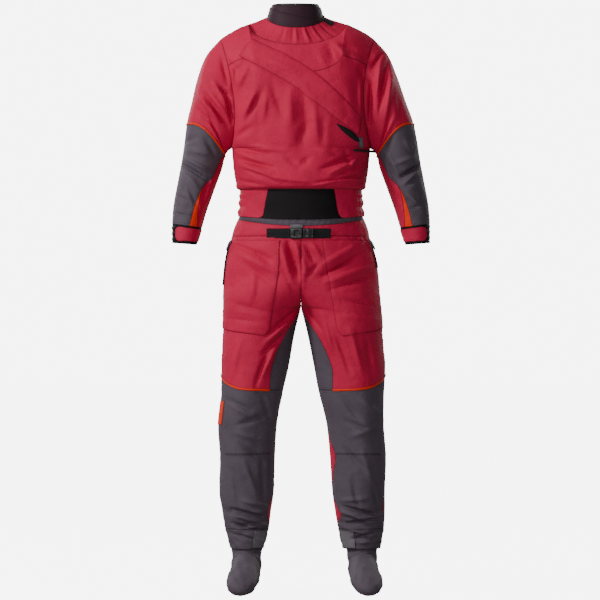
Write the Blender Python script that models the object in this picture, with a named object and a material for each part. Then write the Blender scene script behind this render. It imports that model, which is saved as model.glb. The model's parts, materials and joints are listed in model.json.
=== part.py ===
"""Drysuit, filled out with no wearer: hollow shells cut where the garment's panels are cut.

Lengths in the tables are millimetres and are scaled to metres when a mesh is made.
+Z is up and the front faces -Y. The origin is the middle of the base of the neck.
Every panel is a piece of a worked-out surface: the trunk, a sleeve, the waist, a leg or a sock.
"""
import math

import bpy
import numpy as np

MM = 0.001
SEAM_HALF = 0.16
CLOTH = 2.0
NEOPRENE = 3.0
GASKET = 1.2
LAID_GAP = 0.35
PIPING_HALF = 3.2
PIPING_LIFT = 0.8
PIPING_WALL = 1.2

TRUNK_COLUMNS = 16
SLEEVE_COLUMNS = 24
LEG_COLUMNS = 8
NECK_HALF_WIDTH = 131.0
SHOULDER_HALF_WIDTH = 208.0
NECK_SIDE_Z = 5.0
SHOULDER_DROP = 41.0
SHOULDER_CROWN = 4.0
NECK_DIP_FRONT = 59.0
NECK_RISE_BACK = 8.0
NECK_FRONT_Y = 90.0
NECK_BACK_Y = 66.0
ARMPIT_Z = -331.0
YOKE_ANGLE = 60.0
YOKE_DIP = 16.0
LEAN = -10.0
ROUND = 0.9

COLOURS = {
    "shell_red": ((0.46, 0.035, 0.085), 0.62),
    "shell_grey": ((0.085, 0.072, 0.085), 0.66),
    "trim_orange": ((0.72, 0.035, 0.01), 0.6),
    "neoprene_black": ((0.006, 0.005, 0.006), 0.75),
    "collar_plum": ((0.06, 0.028, 0.042), 0.7),
    "webbing_black": ((0.012, 0.011, 0.012), 0.6),
    "buckle_plastic": ((0.01, 0.01, 0.011), 0.38),
    "gasket_rubber": ((0.01, 0.009, 0.01), 0.5),
    "strap_grey": ((0.11, 0.095, 0.11), 0.6),
    "zip_black": ((0.009, 0.008, 0.009), 0.5),
}

SLEEVE_HEAD = ("station", "outer_x", "outer_z", "inner_x", "inner_z", "mid_y", "half_depth", "inset", "lift")
SLEEVE_ROWS = (
    (0, 208.0, -36.0, 187.0, -331.0, 0.0, 72.0, 22.0, 0.0),
    (1, 246.0, -81.0, 196.0, -337.0, 1.0, 80.0, 7.0, 4.0),
    (2, 271.0, -143.0, 200.0, -342.0, 2.0, 80.0, 0.0, 14.0),
    (3, 290.0, -208.0, 203.0, -347.0, 4.0, 76.0, 0.0, 24.0),
    (4, 307.0, -266.0, 206.0, -353.0, 6.0, 72.0, 0.0, 28.0),
    (5, 321.0, -356.0, 213.0, -385.0, 9.0, 64.0, 0.0, 8.0),
    (6, 331.0, -410.0, 231.0, -435.0, 8.0, 60.0, 0.0, 2.0),
    (7, 344.0, -481.0, 254.0, -500.0, 0.0, 52.0, 0.0, 0.0),
    (8, 348.0, -535.0, 267.0, -545.0, -8.0, 43.0, 0.0, 0.0),
    (9, 348.0, -586.0, 281.0, -591.0, -13.0, 35.0, 0.0, 0.0),
)

TRUNK_HEAD = ("row", "z", "half_width", "front", "back")
TRUNK_ROWS = (
    (-1.0, -443.0, 168.2, 111.4, 103.4),
    (-0.93, -438.0, 174.0, 124.0, 110.0),
    (-0.8, -424.0, 176.0, 131.0, 114.0),
    (-0.5, -395.0, 181.0, 130.0, 116.0),
    (0.0, -331.0, 187.0, 121.0, 112.0),
)
CHEST_HEAD = ("height", "front", "back")
CHEST_ROWS = (
    (0.0, 121.0, 112.0),
    (0.3, 124.0, 119.0),
    (0.6, 120.0, 117.0),
    (0.75, 113.0, 110.0),
    (1.0, 90.0, 66.0),
)

LEG_HEAD = ("station", "outer_z", "inner_z", "turn", "outer_left", "inner_left", "outer_right",
            "inner_right", "front", "back", "mid_y")
LEG_ROWS = (
    (0, -568.0, -568.0, 90.0, 187.0, 0.0, 185.0, 0.0, 105.0, 100.0, 0.0),
    (1, -605.0, -605.0, 90.0, 197.0, 0.0, 194.0, 0.0, 112.0, 112.0, 0.0),
    (2, -645.0, -645.0, 90.0, 203.0, 0.0, 203.0, 0.0, 115.0, 124.0, 0.0),
    (3, -688.0, -676.0, 90.0, 206.0, 0.0, 208.0, 0.0, 114.0, 130.0, 0.0),
    (4, -728.0, -719.0, 120.0, 208.0, 0.0, 211.0, 0.0, 111.0, 129.0, 2.0),
    (5, -768.0, -752.0, 150.0, 208.0, 0.0, 215.0, 0.0, 106.0, 124.0, 4.0),
    (6, -805.0, -764.0, 180.0, 210.0, 1.0, 219.0, 1.0, 103.0, 118.0, 5.0),
    (7, -862.0, -830.0, 180.0, 213.0, 17.0, 223.0, 17.0, 99.0, 110.0, 3.0),
    (8, -920.0, -915.0, 180.0, 215.0, 32.0, 228.0, 34.0, 91.0, 98.0, -2.0),
    (9, -1000.0, -985.0, 180.0, 216.0, 48.0, 224.0, 47.0, 85.0, 88.0, -6.0),
    (10, -1080.0, -1070.0, 180.0, 224.0, 64.0, 224.0, 68.0, 80.0, 80.0, -2.0),
    (11, -1166.0, -1162.0, 180.0, 219.0, 70.0, 230.0, 78.0, 76.0, 82.0, 6.0),
    (12, -1253.0, -1253.0, 180.0, 221.0, 73.0, 227.0, 84.0, 72.0, 78.0, 10.0),
    (13, -1310.0, -1310.0, 180.0, 213.0, 81.0, 227.0, 92.0, 69.0, 72.0, 10.0),
    (14, -1356.0, -1356.0, 180.0, 205.0, 87.0, 224.0, 100.0, 62.0, 64.0, 8.0),
    (15, -1410.0, -1410.0, 180.0, 191.0, 101.0, 215.0, 112.0, 56.0, 58.0, 6.0),
)

SOCK_HEAD = ("station", "y", "z", "tilt", "half_width", "half_height", "toe_out")
SOCK_ROWS = (
    (0, 6.0, -1390.0, 0.0, 42.0, 52.0, 0.0),
    (1, 8.0, -1420.0, 8.0, 40.0, 53.0, 0.0),
    (2, 2.0, -1452.0, 28.0, 40.0, 62.0, 1.0),
    (3, -24.0, -1468.0, 50.0, 40.0, 60.0, 3.0),
    (4, -76.0, -1476.0, 66.0, 40.0, 42.0, 6.0),
    (5, -132.0, -1488.0, 68.0, 43.0, 33.0, 10.0),
    (6, -180.0, -1503.0, 68.0, 37.0, 25.0, 14.0),
    (7, -206.0, -1512.0, 66.0, 22.0, 15.0, 16.0),
    (8, -216.0, -1516.0, 66.0, 0.0, 0.0, 17.0),
)
SOCK_GAP = 0.75
ANKLE_COLUMNS = 24
SOCK_SEAM_STATION = 14.85
ANKLE_X = {-1: 146.0, 1: 165.0}
SOCK_COLUMNS = 12

FOLD_HEAD = ("x0", "z0", "x1", "z1", "width", "push")
CHEST_FOLDS = (
    (-178.0, -268.0, -120.0, -100.0, 17.0, -6.0),
    (-150.0, -262.0, -92.0, -128.0, 16.0, 6.0),
    (178.0, -262.0, 168.0, -120.0, 16.0, -7.0),
    (142.0, -240.0, 118.0, -108.0, 15.0, 5.0),
    (-92.0, -190.0, -118.0, -330.0, 18.0, -5.0),
    (-28.0, -200.0, -34.0, -345.0, 22.0, 6.0),
    (10.0, -205.0, 2.0, -350.0, 17.0, -5.0),
    (66.0, -240.0, 60.0, -345.0, 20.0, 5.0),
    (-178.0, -345.0, -60.0, -392.0, 14.0, -5.0),
    (-170.0, -372.0, -70.0, -418.0, 15.0, 6.0),
    (176.0, -350.0, 84.0, -384.0, 15.0, -5.0),
    (172.0, -384.0, 70.0, -414.0, 14.0, 5.0),
    (-20.0, -386.0, 60.0, -402.0, 16.0, 4.0),
)
BACK_FOLDS = (
    (-176.0, -262.0, -108.0, -112.0, 18.0, -6.0),
    (176.0, -258.0, 104.0, -116.0, 17.0, -6.0),
    (-60.0, -180.0, -74.0, -340.0, 24.0, -5.0),
    (48.0, -170.0, 62.0, -352.0, 22.0, -5.0),
    (-2.0, -200.0, 4.0, -366.0, 22.0, 5.0),
    (-172.0, -362.0, -50.0, -404.0, 16.0, 6.0),
    (170.0, -356.0, 52.0, -398.0, 16.0, 6.0),
)
TUBE_FOLD_HEAD = ("angle0", "station0", "angle1", "station1", "width", "push")
SLEEVE_FOLDS = (
    (150.0, 3.4, 60.0, 2.0, 0.30, -6.0),
    (165.0, 4.1, 80.0, 3.1, 0.26, 5.0),
    (40.0, 1.2, 70.0, 2.6, 0.32, 5.0),
    (20.0, 5.5, 120.0, 5.9, 0.20, -6.0),
    (30.0, 5.9, 100.0, 6.4, 0.24, 5.0),
    (-40.0, 5.2, -140.0, 5.8, 0.24, -5.0),
    (-60.0, 2.0, -150.0, 3.4, 0.3, -5.0),
    (110.0, 6.6, 60.0, 7.5, 0.26, -4.0),
    (-70.0, 6.5, -120.0, 7.4, 0.26, 4.0),
)
LEG_FOLDS = (
    (150.0, 7.2, 96.0, 9.6, 0.34, -5.0),
    (62.0, 8.6, 72.0, 11.4, 0.34, 6.0),
    (122.0, 9.2, 100.0, 11.6, 0.3, -4.0),
    (30.0, 9.8, 66.0, 10.6, 0.24, -5.0),
    (-90.0, 10.0, -150.0, 9.2, 0.26, -6.0),
    (-60.0, 7.6, -120.0, 6.9, 0.3, -5.0),
    (20.0, 12.9, 130.0, 13.35, 0.17, -7.0),
    (60.0, 13.3, 150.0, 12.9, 0.16, 6.0),
    (150.0, 13.6, 60.0, 13.85, 0.15, -6.0),
    (-20.0, 13.0, -120.0, 13.4, 0.2, -6.0),
    (70.0, 14.4, 120.0, 14.2, 0.16, 5.0),
    (-60.0, 14.3, -130.0, 14.5, 0.2, 5.0),
)
HIP_FOLDS = (
    (-34.0, -585.0, -3.0, -715.0, 9.0, -7.0),
    (-14.0, -590.0, 6.0, -700.0, 9.0, 6.0),
    (26.0, -600.0, 44.0, -650.0, 9.0, -4.0),
    (-120.0, -600.0, -74.0, -652.0, 12.0, -4.0),
    (150.0, -632.0, 70.0, -668.0, 12.0, -4.0),
    (-150.0, -770.0, -96.0, -778.0, 12.0, -3.0),
)


def named(head, rows):
    """Turn a table's rows into one array for each named column."""
    return {name: np.array([row[k] for row in rows], float) for k, name in enumerate(head)}


def smooth(at, knots, values):
    """Read a table column between its rows along a cubic with even slopes."""
    at = np.clip(np.asarray(at, float), knots[0], knots[-1])
    step = np.diff(knots)
    rise = np.diff(values) / step
    slope = np.concatenate(([rise[0]], 0.5 * (rise[1:] + rise[:-1]), [rise[-1]]))
    cell = np.clip(np.searchsorted(knots, at, side="right") - 1, 0, len(step) - 1)
    f = (at - knots[cell]) / step[cell]
    start = (1 + 2 * f) * (1 - f) ** 2 * values[cell] + f * f * (3 - 2 * f) * values[cell + 1]
    bend = step[cell] * (f * (1 - f) ** 2 * slope[cell] - f * f * (1 - f) * slope[cell + 1])
    return start + bend


def fold_push(across, along, head, rows, stretch=1.0):
    """Height of soft folds: each is a rounded ridge or trough about a straight line."""
    total = np.zeros(np.broadcast(across, along).shape)
    for row in rows:
        fold = dict(zip(head, row))
        a0, b0, a1, b1 = [fold[name] for name in head[:4]]
        da, db = (a1 - a0) * stretch, b1 - b0
        length = da * da + db * db
        t = np.clip(((across - a0) * stretch * da + (along - b0) * db) / length, 0.0, 1.0)
        far = np.hypot((across - a0) * stretch - t * da, along - b0 - t * db)
        total = total + fold["push"] * np.exp(-(far / fold["width"]) ** 2) * (0.35 + 0.65 * np.sin(math.pi * t))
    return total


def lean(z):
    """Sideways lean of the shoulders and neck, none below the armpits."""
    t = np.clip((np.asarray(z, float) - ARMPIT_Z) / 230.0, 0.0, 1.0)
    return LEAN * t * t * (3 - 2 * t)


def stack(x, y, z):
    """Join three coordinate arrays into points."""
    return np.stack(np.broadcast_arrays(x, y, z), axis=-1)


def normals(surface, u, v, core):
    """Unit normals of a surface by small steps in its two parameters, facing away from its core."""
    du = surface(u + 1e-3, v) - surface(u - 1e-3, v)
    dv = surface(u, v + 1e-3) - surface(u, v - 1e-3)
    n = np.cross(du, dv)
    n = n / np.maximum(np.linalg.norm(n, axis=-1, keepdims=True), 1e-9)
    facing = np.sign(np.sum(n * (surface(u, v) - core), axis=-1, keepdims=True).sum())
    return n * facing


SLEEVE = named(SLEEVE_HEAD, SLEEVE_ROWS)
TRUNK = named(TRUNK_HEAD, TRUNK_ROWS)
CHEST = named(CHEST_HEAD, CHEST_ROWS)
LEG = named(LEG_HEAD, LEG_ROWS)
SOCK = named(SOCK_HEAD, SOCK_ROWS)


def sleeve_surface(side, folded=True):
    """Sleeve about the arm: angle 0 is the outer edge, a right angle the front, half a turn the inside."""
    def point(angle, station):
        c, s = np.cos(angle), np.sin(angle)
        col = {name: smooth(station, SLEEVE["station"], SLEEVE[name]) for name in SLEEVE_HEAD[1:]}
        x = 0.5 * (col["outer_x"] + col["inner_x"]) + 0.5 * (col["outer_x"] - col["inner_x"]) * c
        x = x - col["inset"] * s * s
        z = 0.5 * (col["outer_z"] + col["inner_z"]) + 0.5 * (col["outer_z"] - col["inner_z"]) * c
        z = z + col["lift"] * s * s
        y = col["mid_y"] - col["half_depth"] * s
        if folded:
            turn = np.degrees(np.arctan2(np.sin(angle), np.cos(angle)))
            calm = np.clip(station / 1.5, 0, 1) * np.clip((8.6 - station) / 0.8, 0, 1)
            push = fold_push(turn, station, TUBE_FOLD_HEAD, SLEEVE_FOLDS, 1 / 60) * calm
            x, y = x + push * c, y - push * s
        return stack(side * x + lean(z), y, z)
    return point


def sleeve_core(angle, station):
    """Middle of the sleeve at each station, mirrored by the caller."""
    x = 0.5 * (smooth(station, SLEEVE["station"], SLEEVE["outer_x"])
               + smooth(station, SLEEVE["station"], SLEEVE["inner_x"]))
    z = 0.5 * (smooth(station, SLEEVE["station"], SLEEVE["outer_z"])
               + smooth(station, SLEEVE["station"], SLEEVE["inner_z"]))
    return stack(x + 0 * angle, 0 * angle, z + 0 * angle)


def neck_share(column):
    """Share of the shoulder half width along the trunk's top row, with the neck between -0.5 and 0.5."""
    size = np.abs(column)
    neck = NECK_HALF_WIDTH / SHOULDER_HALF_WIDTH
    inside = neck * np.sin(np.minimum(size, 0.5) * math.pi)
    outside = neck + (1 - neck) * (size - 0.5) * 2
    return np.sign(column) * np.where(size < 0.5, inside, outside)


def top_row(column, front):
    """Height and depth of the trunk's top row: shoulders outside, the neck band's seam inside."""
    size = np.abs(column)
    dip = np.cos(np.minimum(size, 0.5) * math.pi)
    slide = np.clip((size - 0.5) * 2, 0, 1)
    z = NECK_SIDE_Z - SHOULDER_DROP * slide + SHOULDER_CROWN * np.sin(math.pi * slide)
    if front:
        return z - NECK_DIP_FRONT * dip, -NECK_FRONT_Y * dip
    return z + NECK_RISE_BACK * dip, NECK_BACK_Y * dip


def trunk_surface(front, folded=True):
    """Front or back of the blouse: column from side to side, row -1 at the hem, 0 armpit, 1 shoulder."""
    face = -1.0 if front else 1.0
    name = "front" if front else "back"

    def body(column, row, angle):
        beta = column * math.pi / 2
        s = np.sign(beta) * np.abs(np.sin(beta)) ** ROUND
        c = np.abs(np.cos(beta)) ** ROUND
        low = np.minimum(row, 0.0)
        half = smooth(low, TRUNK["row"], TRUNK["half_width"])
        deep = smooth(low, TRUNK["row"], TRUNK[name])
        z_low = smooth(low, TRUNK["row"], TRUNK["z"])
        up = (1 + np.cos(angle)) / 2
        x_edge = 0.5 * (SHOULDER_HALF_WIDTH + 187.0) + 0.5 * (SHOULDER_HALF_WIDTH - 187.0) * np.cos(angle)
        x_edge = x_edge - SLEEVE["inset"][0] * np.sin(angle) ** 2
        y_edge = SLEEVE["half_depth"][0] * np.sin(angle)
        share = up * up * (3 - 2 * up)
        x_high = x_edge * ((1 - share) * s + share * neck_share(column))
        y_high = y_edge + (smooth(up, CHEST["height"], CHEST[name]) - y_edge) * c
        z_top, y_top = top_row(column, front)
        dip = YOKE_DIP * c * np.sin(math.pi * np.clip(up, 0, 1)) ** 2 * (1 if front else 0)
        z_high = ARMPIT_Z + (z_top - ARMPIT_Z) * up - dip
        high = row > 0
        return (np.where(high, x_high, half * s), face * np.where(high, y_high, deep * c),
                np.where(high, z_high, z_low), y_top)

    def point(column, row):
        column, row = np.broadcast_arrays(np.asarray(column, float), np.asarray(row, float))
        angle = math.pi * (1 - np.clip(row, 0, 1))
        yoke = math.radians(YOKE_ANGLE)
        x, y, z, y_top = body(column, row, angle)
        y_yoke = body(column, np.full(row.shape, 0.5), np.full(row.shape, yoke))[1]
        over = np.sin(angle) / math.sin(yoke)
        y = np.where(angle < yoke, y_top + (y_yoke - y_top) * over, y)
        if folded:
            calm = np.clip((row + 0.93) / 0.2, 0, 1) * np.clip((0.62 - row) / 0.2, 0, 1)
            calm = calm * np.clip((1 - np.abs(column)) / 0.12, 0, 1)
            rows = CHEST_FOLDS if front else BACK_FOLDS
            y = y + face * fold_push(x, z, FOLD_HEAD, rows) * calm
        return stack(x + lean(z), y, z)
    return point


def waist_surface(half, front, back):
    """Upright ring about the waist: angle 0 is the wearer's front, a right angle the +X side."""
    def point(angle, z):
        s, c = np.sin(angle), np.cos(angle)
        x = half * np.sign(s) * np.abs(s) ** ROUND
        y = -np.where(c > 0, front, back) * np.sign(c) * np.abs(c) ** ROUND
        return stack(x, y, z)
    return point


def leg_surface(side, folded=True):
    """Trouser leg: share 0 is the outer seam, 1 and -1 the inner or centre seam by the front and the back."""
    tag = "left" if side < 0 else "right"

    def point(share, station):
        share, station = np.broadcast_arrays(np.asarray(share, float), np.asarray(station, float))
        col = {name: smooth(station, LEG["station"], LEG[name]) for name in LEG_HEAD[1:]}
        turn = np.radians(col["turn"])
        phi = np.abs(share) * turn
        outer, inner = col["outer_" + tag], col["inner_" + tag]
        middle = (inner - outer * np.cos(turn)) / (1 - np.cos(turn))
        reach = outer - middle
        x = middle + reach * np.cos(phi)
        z = col["outer_z"] + (col["inner_z"] - col["outer_z"]) * (1 - np.cos(phi)) / (1 - np.cos(turn))
        deep = np.where(share > 0, col["front"], col["back"])
        y = col["mid_y"] - np.sign(share) * deep * np.sin(phi)
        if folded:
            degrees = np.degrees(np.sign(share) * phi)
            calm = np.clip((station - 6.0) / 0.8, 0, 1) * np.clip((14.9 - station) / 0.4, 0, 1)
            push = fold_push(degrees, station, TUBE_FOLD_HEAD, LEG_FOLDS, 1 / 60) * calm
            x, y = x + push * np.cos(phi), y - push * np.sin(phi) * np.sign(share)
            hip = np.clip(station / 0.5, 0, 1) * np.clip((6.0 - station) / 1.5, 0, 1)
            hip = hip * np.where(share > 0, 1.0, 0.0) * np.clip((1 - share) / 0.08, 0, 1)
            y = y - fold_push(side * x, z, FOLD_HEAD, HIP_FOLDS) * hip
        return stack(side * x, y, z)
    return point


def leg_core(side):
    """Middle line of a leg, used only to tell the outside of a panel from its inside."""
    tag = "left" if side < 0 else "right"

    def point(share, station):
        x = 0.5 * (smooth(station, LEG["station"], LEG["outer_" + tag])
                   + smooth(station, LEG["station"], LEG["inner_" + tag]))
        z = 0.5 * (smooth(station, LEG["station"], LEG["outer_z"])
                   + smooth(station, LEG["station"], LEG["inner_z"]))
        return stack(side * x + 0 * share, 0 * share + smooth(station, LEG["station"], LEG["mid_y"]), z + 0 * share)
    return point


def sock_surface(side):
    """Sock as rings tipped from level at the ankle to upright along the foot, closed at the toe."""
    def point(angle, station):
        col = {name: smooth(station, SOCK["station"], SOCK[name]) for name in SOCK_HEAD[1:]}
        tilt = np.radians(col["tilt"])
        across = np.maximum(col["half_width"], 0.0) * np.cos(angle)
        rise = np.maximum(col["half_height"], 0.0) * np.sin(angle)
        x = side * (ANKLE_X[side] + col["toe_out"]) + side * across
        own = stack(x, col["y"] - rise * np.cos(tilt), col["z"] + rise * np.sin(tilt))
        share = np.arctan2(np.sin(angle), np.cos(angle)) / math.pi + 1e-6
        level = np.full(share.shape, SOCK_SEAM_STATION)
        leg = leg_surface(side)
        inside = leg(share, level) - normals(leg, share, level, leg_core(side)(share, level)) * (CLOTH + SOCK_GAP)
        near = np.clip(1 - station, 0, 1)[..., None]
        return own * (1 - near) + inside * near
    return point


def grid(first, second):
    """Columns along the first list and rows along the second."""
    return np.meshgrid(np.asarray(first, float), np.asarray(second, float))


def draw_back(edge, inner, closed, half=SEAM_HALF):
    """Move an edge square to its own line toward its neighbours by half a seam."""
    along = np.roll(edge, -1, axis=0) - np.roll(edge, 1, axis=0)
    if not closed:
        along[0] = edge[1] - edge[0]
        along[-1] = edge[-1] - edge[-2]
    along = along / np.maximum(np.linalg.norm(along, axis=-1, keepdims=True), 1e-9)
    step = inner - edge
    step = step - np.sum(step * along, axis=-1, keepdims=True) * along
    return half * step / np.maximum(np.linalg.norm(step, axis=-1, keepdims=True), 1e-9)


def pull_edges(points, ends=(True, True), sides=(True, True), half=SEAM_HALF):
    """Draw a panel's cut edges back by half a seam so that neighbours don't touch."""
    out = points.copy()
    ring = not (sides[0] or sides[1])
    for flag, edge, inner in ((ends[0], 0, 1), (ends[1], -1, -2)):
        if flag:
            out[edge] += draw_back(points[edge], points[inner], ring, half)
    for flag, edge, inner in ((sides[0], 0, 1), (sides[1], -1, -2)):
        if flag:
            out[:, edge] += draw_back(points[:, edge], points[:, inner], False, half)
    return out


def on_chords(knots, values, at, period=None):
    """Points along straight runs between known points, so that panels with other columns still meet."""
    knots = np.asarray(knots, float)
    if period:
        order = np.argsort(knots)
        knots, values = knots[order], values[order]
        knots = np.concatenate((knots - period, knots, knots + period))
        values = np.concatenate((values, values, values))
    return np.stack([np.interp(at, knots, values[:, k]) for k in range(3)], axis=-1)


def finish_mesh(name, points, faces, slot, parent=None, origin=(0.0, 0.0, 0.0)):
    """Make one closed mesh object with its material, faces outward."""
    pts = np.asarray(points, float) * MM
    volume = 0.0
    for face in faces:
        for k in range(1, len(face) - 1):
            volume += np.dot(pts[face[0]], np.cross(pts[face[k]], pts[face[k + 1]]))
    if volume < 0:
        faces = [tuple(reversed(face)) for face in faces]
    base = np.asarray(origin, float) * MM
    mesh = bpy.data.meshes.new(name)
    mesh.from_pydata([tuple(p) for p in pts - base], [], [tuple(int(k) for k in face) for face in faces])
    mesh.update()
    obj = bpy.data.objects.new(name, mesh)
    obj.location = base
    bpy.context.scene.collection.objects.link(obj)
    mesh.materials.append(material(slot))
    return obj


def material(slot):
    """Fetch or make a material by its slot name."""
    found = bpy.data.materials.get(slot)
    if found:
        return found
    colour, rough = COLOURS[slot]
    made = bpy.data.materials.new(slot)
    made.use_nodes = True
    shader = made.node_tree.nodes["Principled BSDF"]
    shader.inputs["Base Color"].default_value = (*colour, 1.0)
    shader.inputs["Roughness"].default_value = rough
    shader.inputs["Metallic"].default_value = 0.0
    return made


def shell(name, outer, normal, wall, slot, ring=False, tip=False):
    """Cloth panel with a wall: a grid of outer points, its inner copy, and rims along every cut edge."""
    inner = outer - wall * normal
    rows, cols = outer.shape[:2]
    points = []
    index = np.zeros((2, rows, cols), int)
    for layer, pts in enumerate((outer, inner)):
        for r in range(rows):
            if tip and r == rows - 1:
                index[layer, r, :] = len(points)
                points.append(pts[r].mean(axis=0))
                continue
            for c in range(cols):
                index[layer, r, c] = len(points)
                points.append(pts[r, c])
    faces = []
    spans = cols if ring else cols - 1
    for layer in range(2):
        for r in range(rows - 1):
            for c in range(spans):
                d = (c + 1) % cols
                a, b = index[layer, r, c], index[layer, r, d]
                e, f = index[layer, r + 1, d], index[layer, r + 1, c]
                for face in ((a, b, e),) if e == f else ((a, b, e), (a, e, f)):
                    faces.append(face if layer == 0 else tuple(reversed(face)))
    edges = [(0, True)] if tip else [(0, True), (rows - 1, False)]
    for r, flip in edges:
        for c in range(spans):
            d = (c + 1) % cols
            face = (index[0, r, c], index[1, r, c], index[1, r, d], index[0, r, d])
            faces.append(face if flip else tuple(reversed(face)))
    if not ring:
        for c, flip in ((0, False), (cols - 1, True)):
            for r in range(rows - 1):
                face = (index[0, r, c], index[1, r, c], index[1, r + 1, c], index[0, r + 1, c])
                faces.append(face if flip else tuple(reversed(face)))
    return finish_mesh(name, points, faces, slot)


KNEE_SHARES = np.array([0.0, 0.15, 0.35, 0.6, 0.75, 1.0])
KNEE_STATIONS = np.array([8.28, 8.5, 8.75, 8.88, 8.93, 8.94])
GREY_HEAD = ("station", "share")
GREY_EDGE = named(GREY_HEAD, ((6.0, 0.985), (7.0, 0.77), (8.0, 0.68), (9.0, 0.70)))
SHIN_HEAD = ("station", "outer", "inner")
SHIN_LEFT = named(SHIN_HEAD, (
    (8.2, 0.0, 0.99), (10.0, 0.02, 0.99), (11.8, 0.04, 0.98), (12.1, 0.03, 0.93),
    (12.6, 0.03, 0.85), (13.1, 0.02, 0.83), (13.6, 0.01, 0.90), (14.0, 0.0, 0.98)))
SHIN_RIGHT = named(SHIN_HEAD, (
    (8.2, 0.11, 0.99), (9.1, 0.10, 0.99), (9.8, 0.03, 0.98), (10.3, 0.0, 0.90),
    (10.8, -0.02, 0.80), (11.4, -0.01, 0.88), (11.9, 0.03, 0.97), (12.7, 0.11, 0.84),
    (13.1, 0.09, 0.78), (13.6, 0.05, 0.90), (14.0, 0.0, 0.98)))
FOREARM_HEAD = ("station", "front_seam", "wedge", "back_seam")
FOREARM = named(FOREARM_HEAD, (
    (4.0, 165.0, 0.0, -165.0), (4.6, 151.0, 0.0, -146.0), (5.1, 143.0, 0.0, -140.0),
    (5.6, 138.0, 0.0, -132.0), (6.2, 113.0, 1.6, -124.0), (6.8, 106.0, 12.0, -118.0),
    (7.4, 103.0, 23.0, -112.0), (8.0, 101.0, 34.0, -110.0)))
SLEEVE_STATIONS = (0.0, 0.5, 1.0, 1.6, 2.3, 3.1, 4.0)
TRUNK_LOW = (-1.0, -0.93, -0.8, -0.65, -0.5, -0.25)
SEAM_SHARE = 0.99
LEG_STEPS = (0.0, 0.5, 1.0, 2.0, 3.0, 4.0, 5.0, 6.0)
THIGH_STEPS = (0.25, 0.5, 0.75, 1.0)
SHIN_STEPS = (0.0, 0.13, 0.27, 0.41, 0.55, 0.7, 0.85, 1.0)

HEM_TOP_Z = -430.0
OVERSKIRT = {"half": 165.0, "front": 108.0, "back": 100.0, "bottom_side": -514.0, "bottom_front": -524.0}
WAIST_TOP = {"half": 171.0, "front": 107.0, "back": 101.0, "side_z": -523.0, "front_z": -541.0}


def share_wrap(share):
    """Bring a share that runs on past the inner seam round to the back."""
    return np.where(share > 1.0, share - 2.0, share)


def knee_station(share):
    """Station of the knee seam round the leg, highest at the outer seam."""
    return np.interp(np.abs(share_wrap(share)), KNEE_SHARES, KNEE_STATIONS)


def armhole_normals(side, front):
    """Shared normals along one half of an armhole, from the armpit to the shoulder."""
    steps = np.arange(0, SLEEVE_COLUMNS // 2 + 1) / (SLEEVE_COLUMNS / 2)
    face = 1.0 if front else -1.0
    angle = face * math.pi * (1 - steps)
    sleeve = sleeve_surface(side)
    near = np.full(angle.shape, 0.12)
    core = sleeve_core(angle, near) * np.array([side, 1, 1])
    one = normals(sleeve, angle, near, core)
    trunk = trunk_surface(front)
    column = np.full(angle.shape, side * 0.97)
    row = np.clip(steps, 0.01, 0.985)
    point = trunk(column, row)
    two = normals(trunk, column, row, point * np.array([0.35, 0.0, 1.0]))
    both = one + two
    return both / np.linalg.norm(both, axis=-1, keepdims=True)


def build_trunk(made):
    """Blouse front below the yoke seam, the yoke above it, and the whole back."""
    columns = np.linspace(-1, 1, TRUNK_COLUMNS + 1)
    arm_rows = np.arange(0, SLEEVE_COLUMNS // 2 + 1) / (SLEEVE_COLUMNS / 2)
    yoke_row = 1 - YOKE_ANGLE / 180.0
    for front in (True, False):
        surface = trunk_surface(front)
        rows = np.concatenate((TRUNK_LOW, arm_rows))
        u, v = grid(columns, rows)
        outer = surface(u, v)
        core = outer * np.array([0.35, 0.0, 1.0])
        eased = np.where(v > 0.985, 0.985, v)
        normal = normals(surface, np.clip(u, -0.985, 0.985), eased, core)
        low = len(TRUNK_LOW)
        for side, column in ((-1, 0), (1, -1)):
            normal[low:, column] = armhole_normals(side, front)
            normal[:low, column] = np.array([side, 0.0, 0.0])
        normal[-1] = normal[-1] + np.array([0.0, 0.0, 1.0]) * 0.6
        normal[-1, :, 1] *= 0.6
        normal = normal / np.linalg.norm(normal, axis=-1, keepdims=True)
        made["trunk_front" if front else "trunk_back"] = (outer, normal)
        if front:
            cut = low + int(np.argmin(np.abs(arm_rows - yoke_row)))
            shell("chest_front", pull_edges(outer[:cut + 1]), normal[:cut + 1], CLOTH, "shell_red")
            shell("yoke_front", pull_edges(outer[cut:]), normal[cut:], CLOTH, "shell_red")
        else:
            shell("back", pull_edges(outer), normal, CLOTH, "shell_red")


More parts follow.
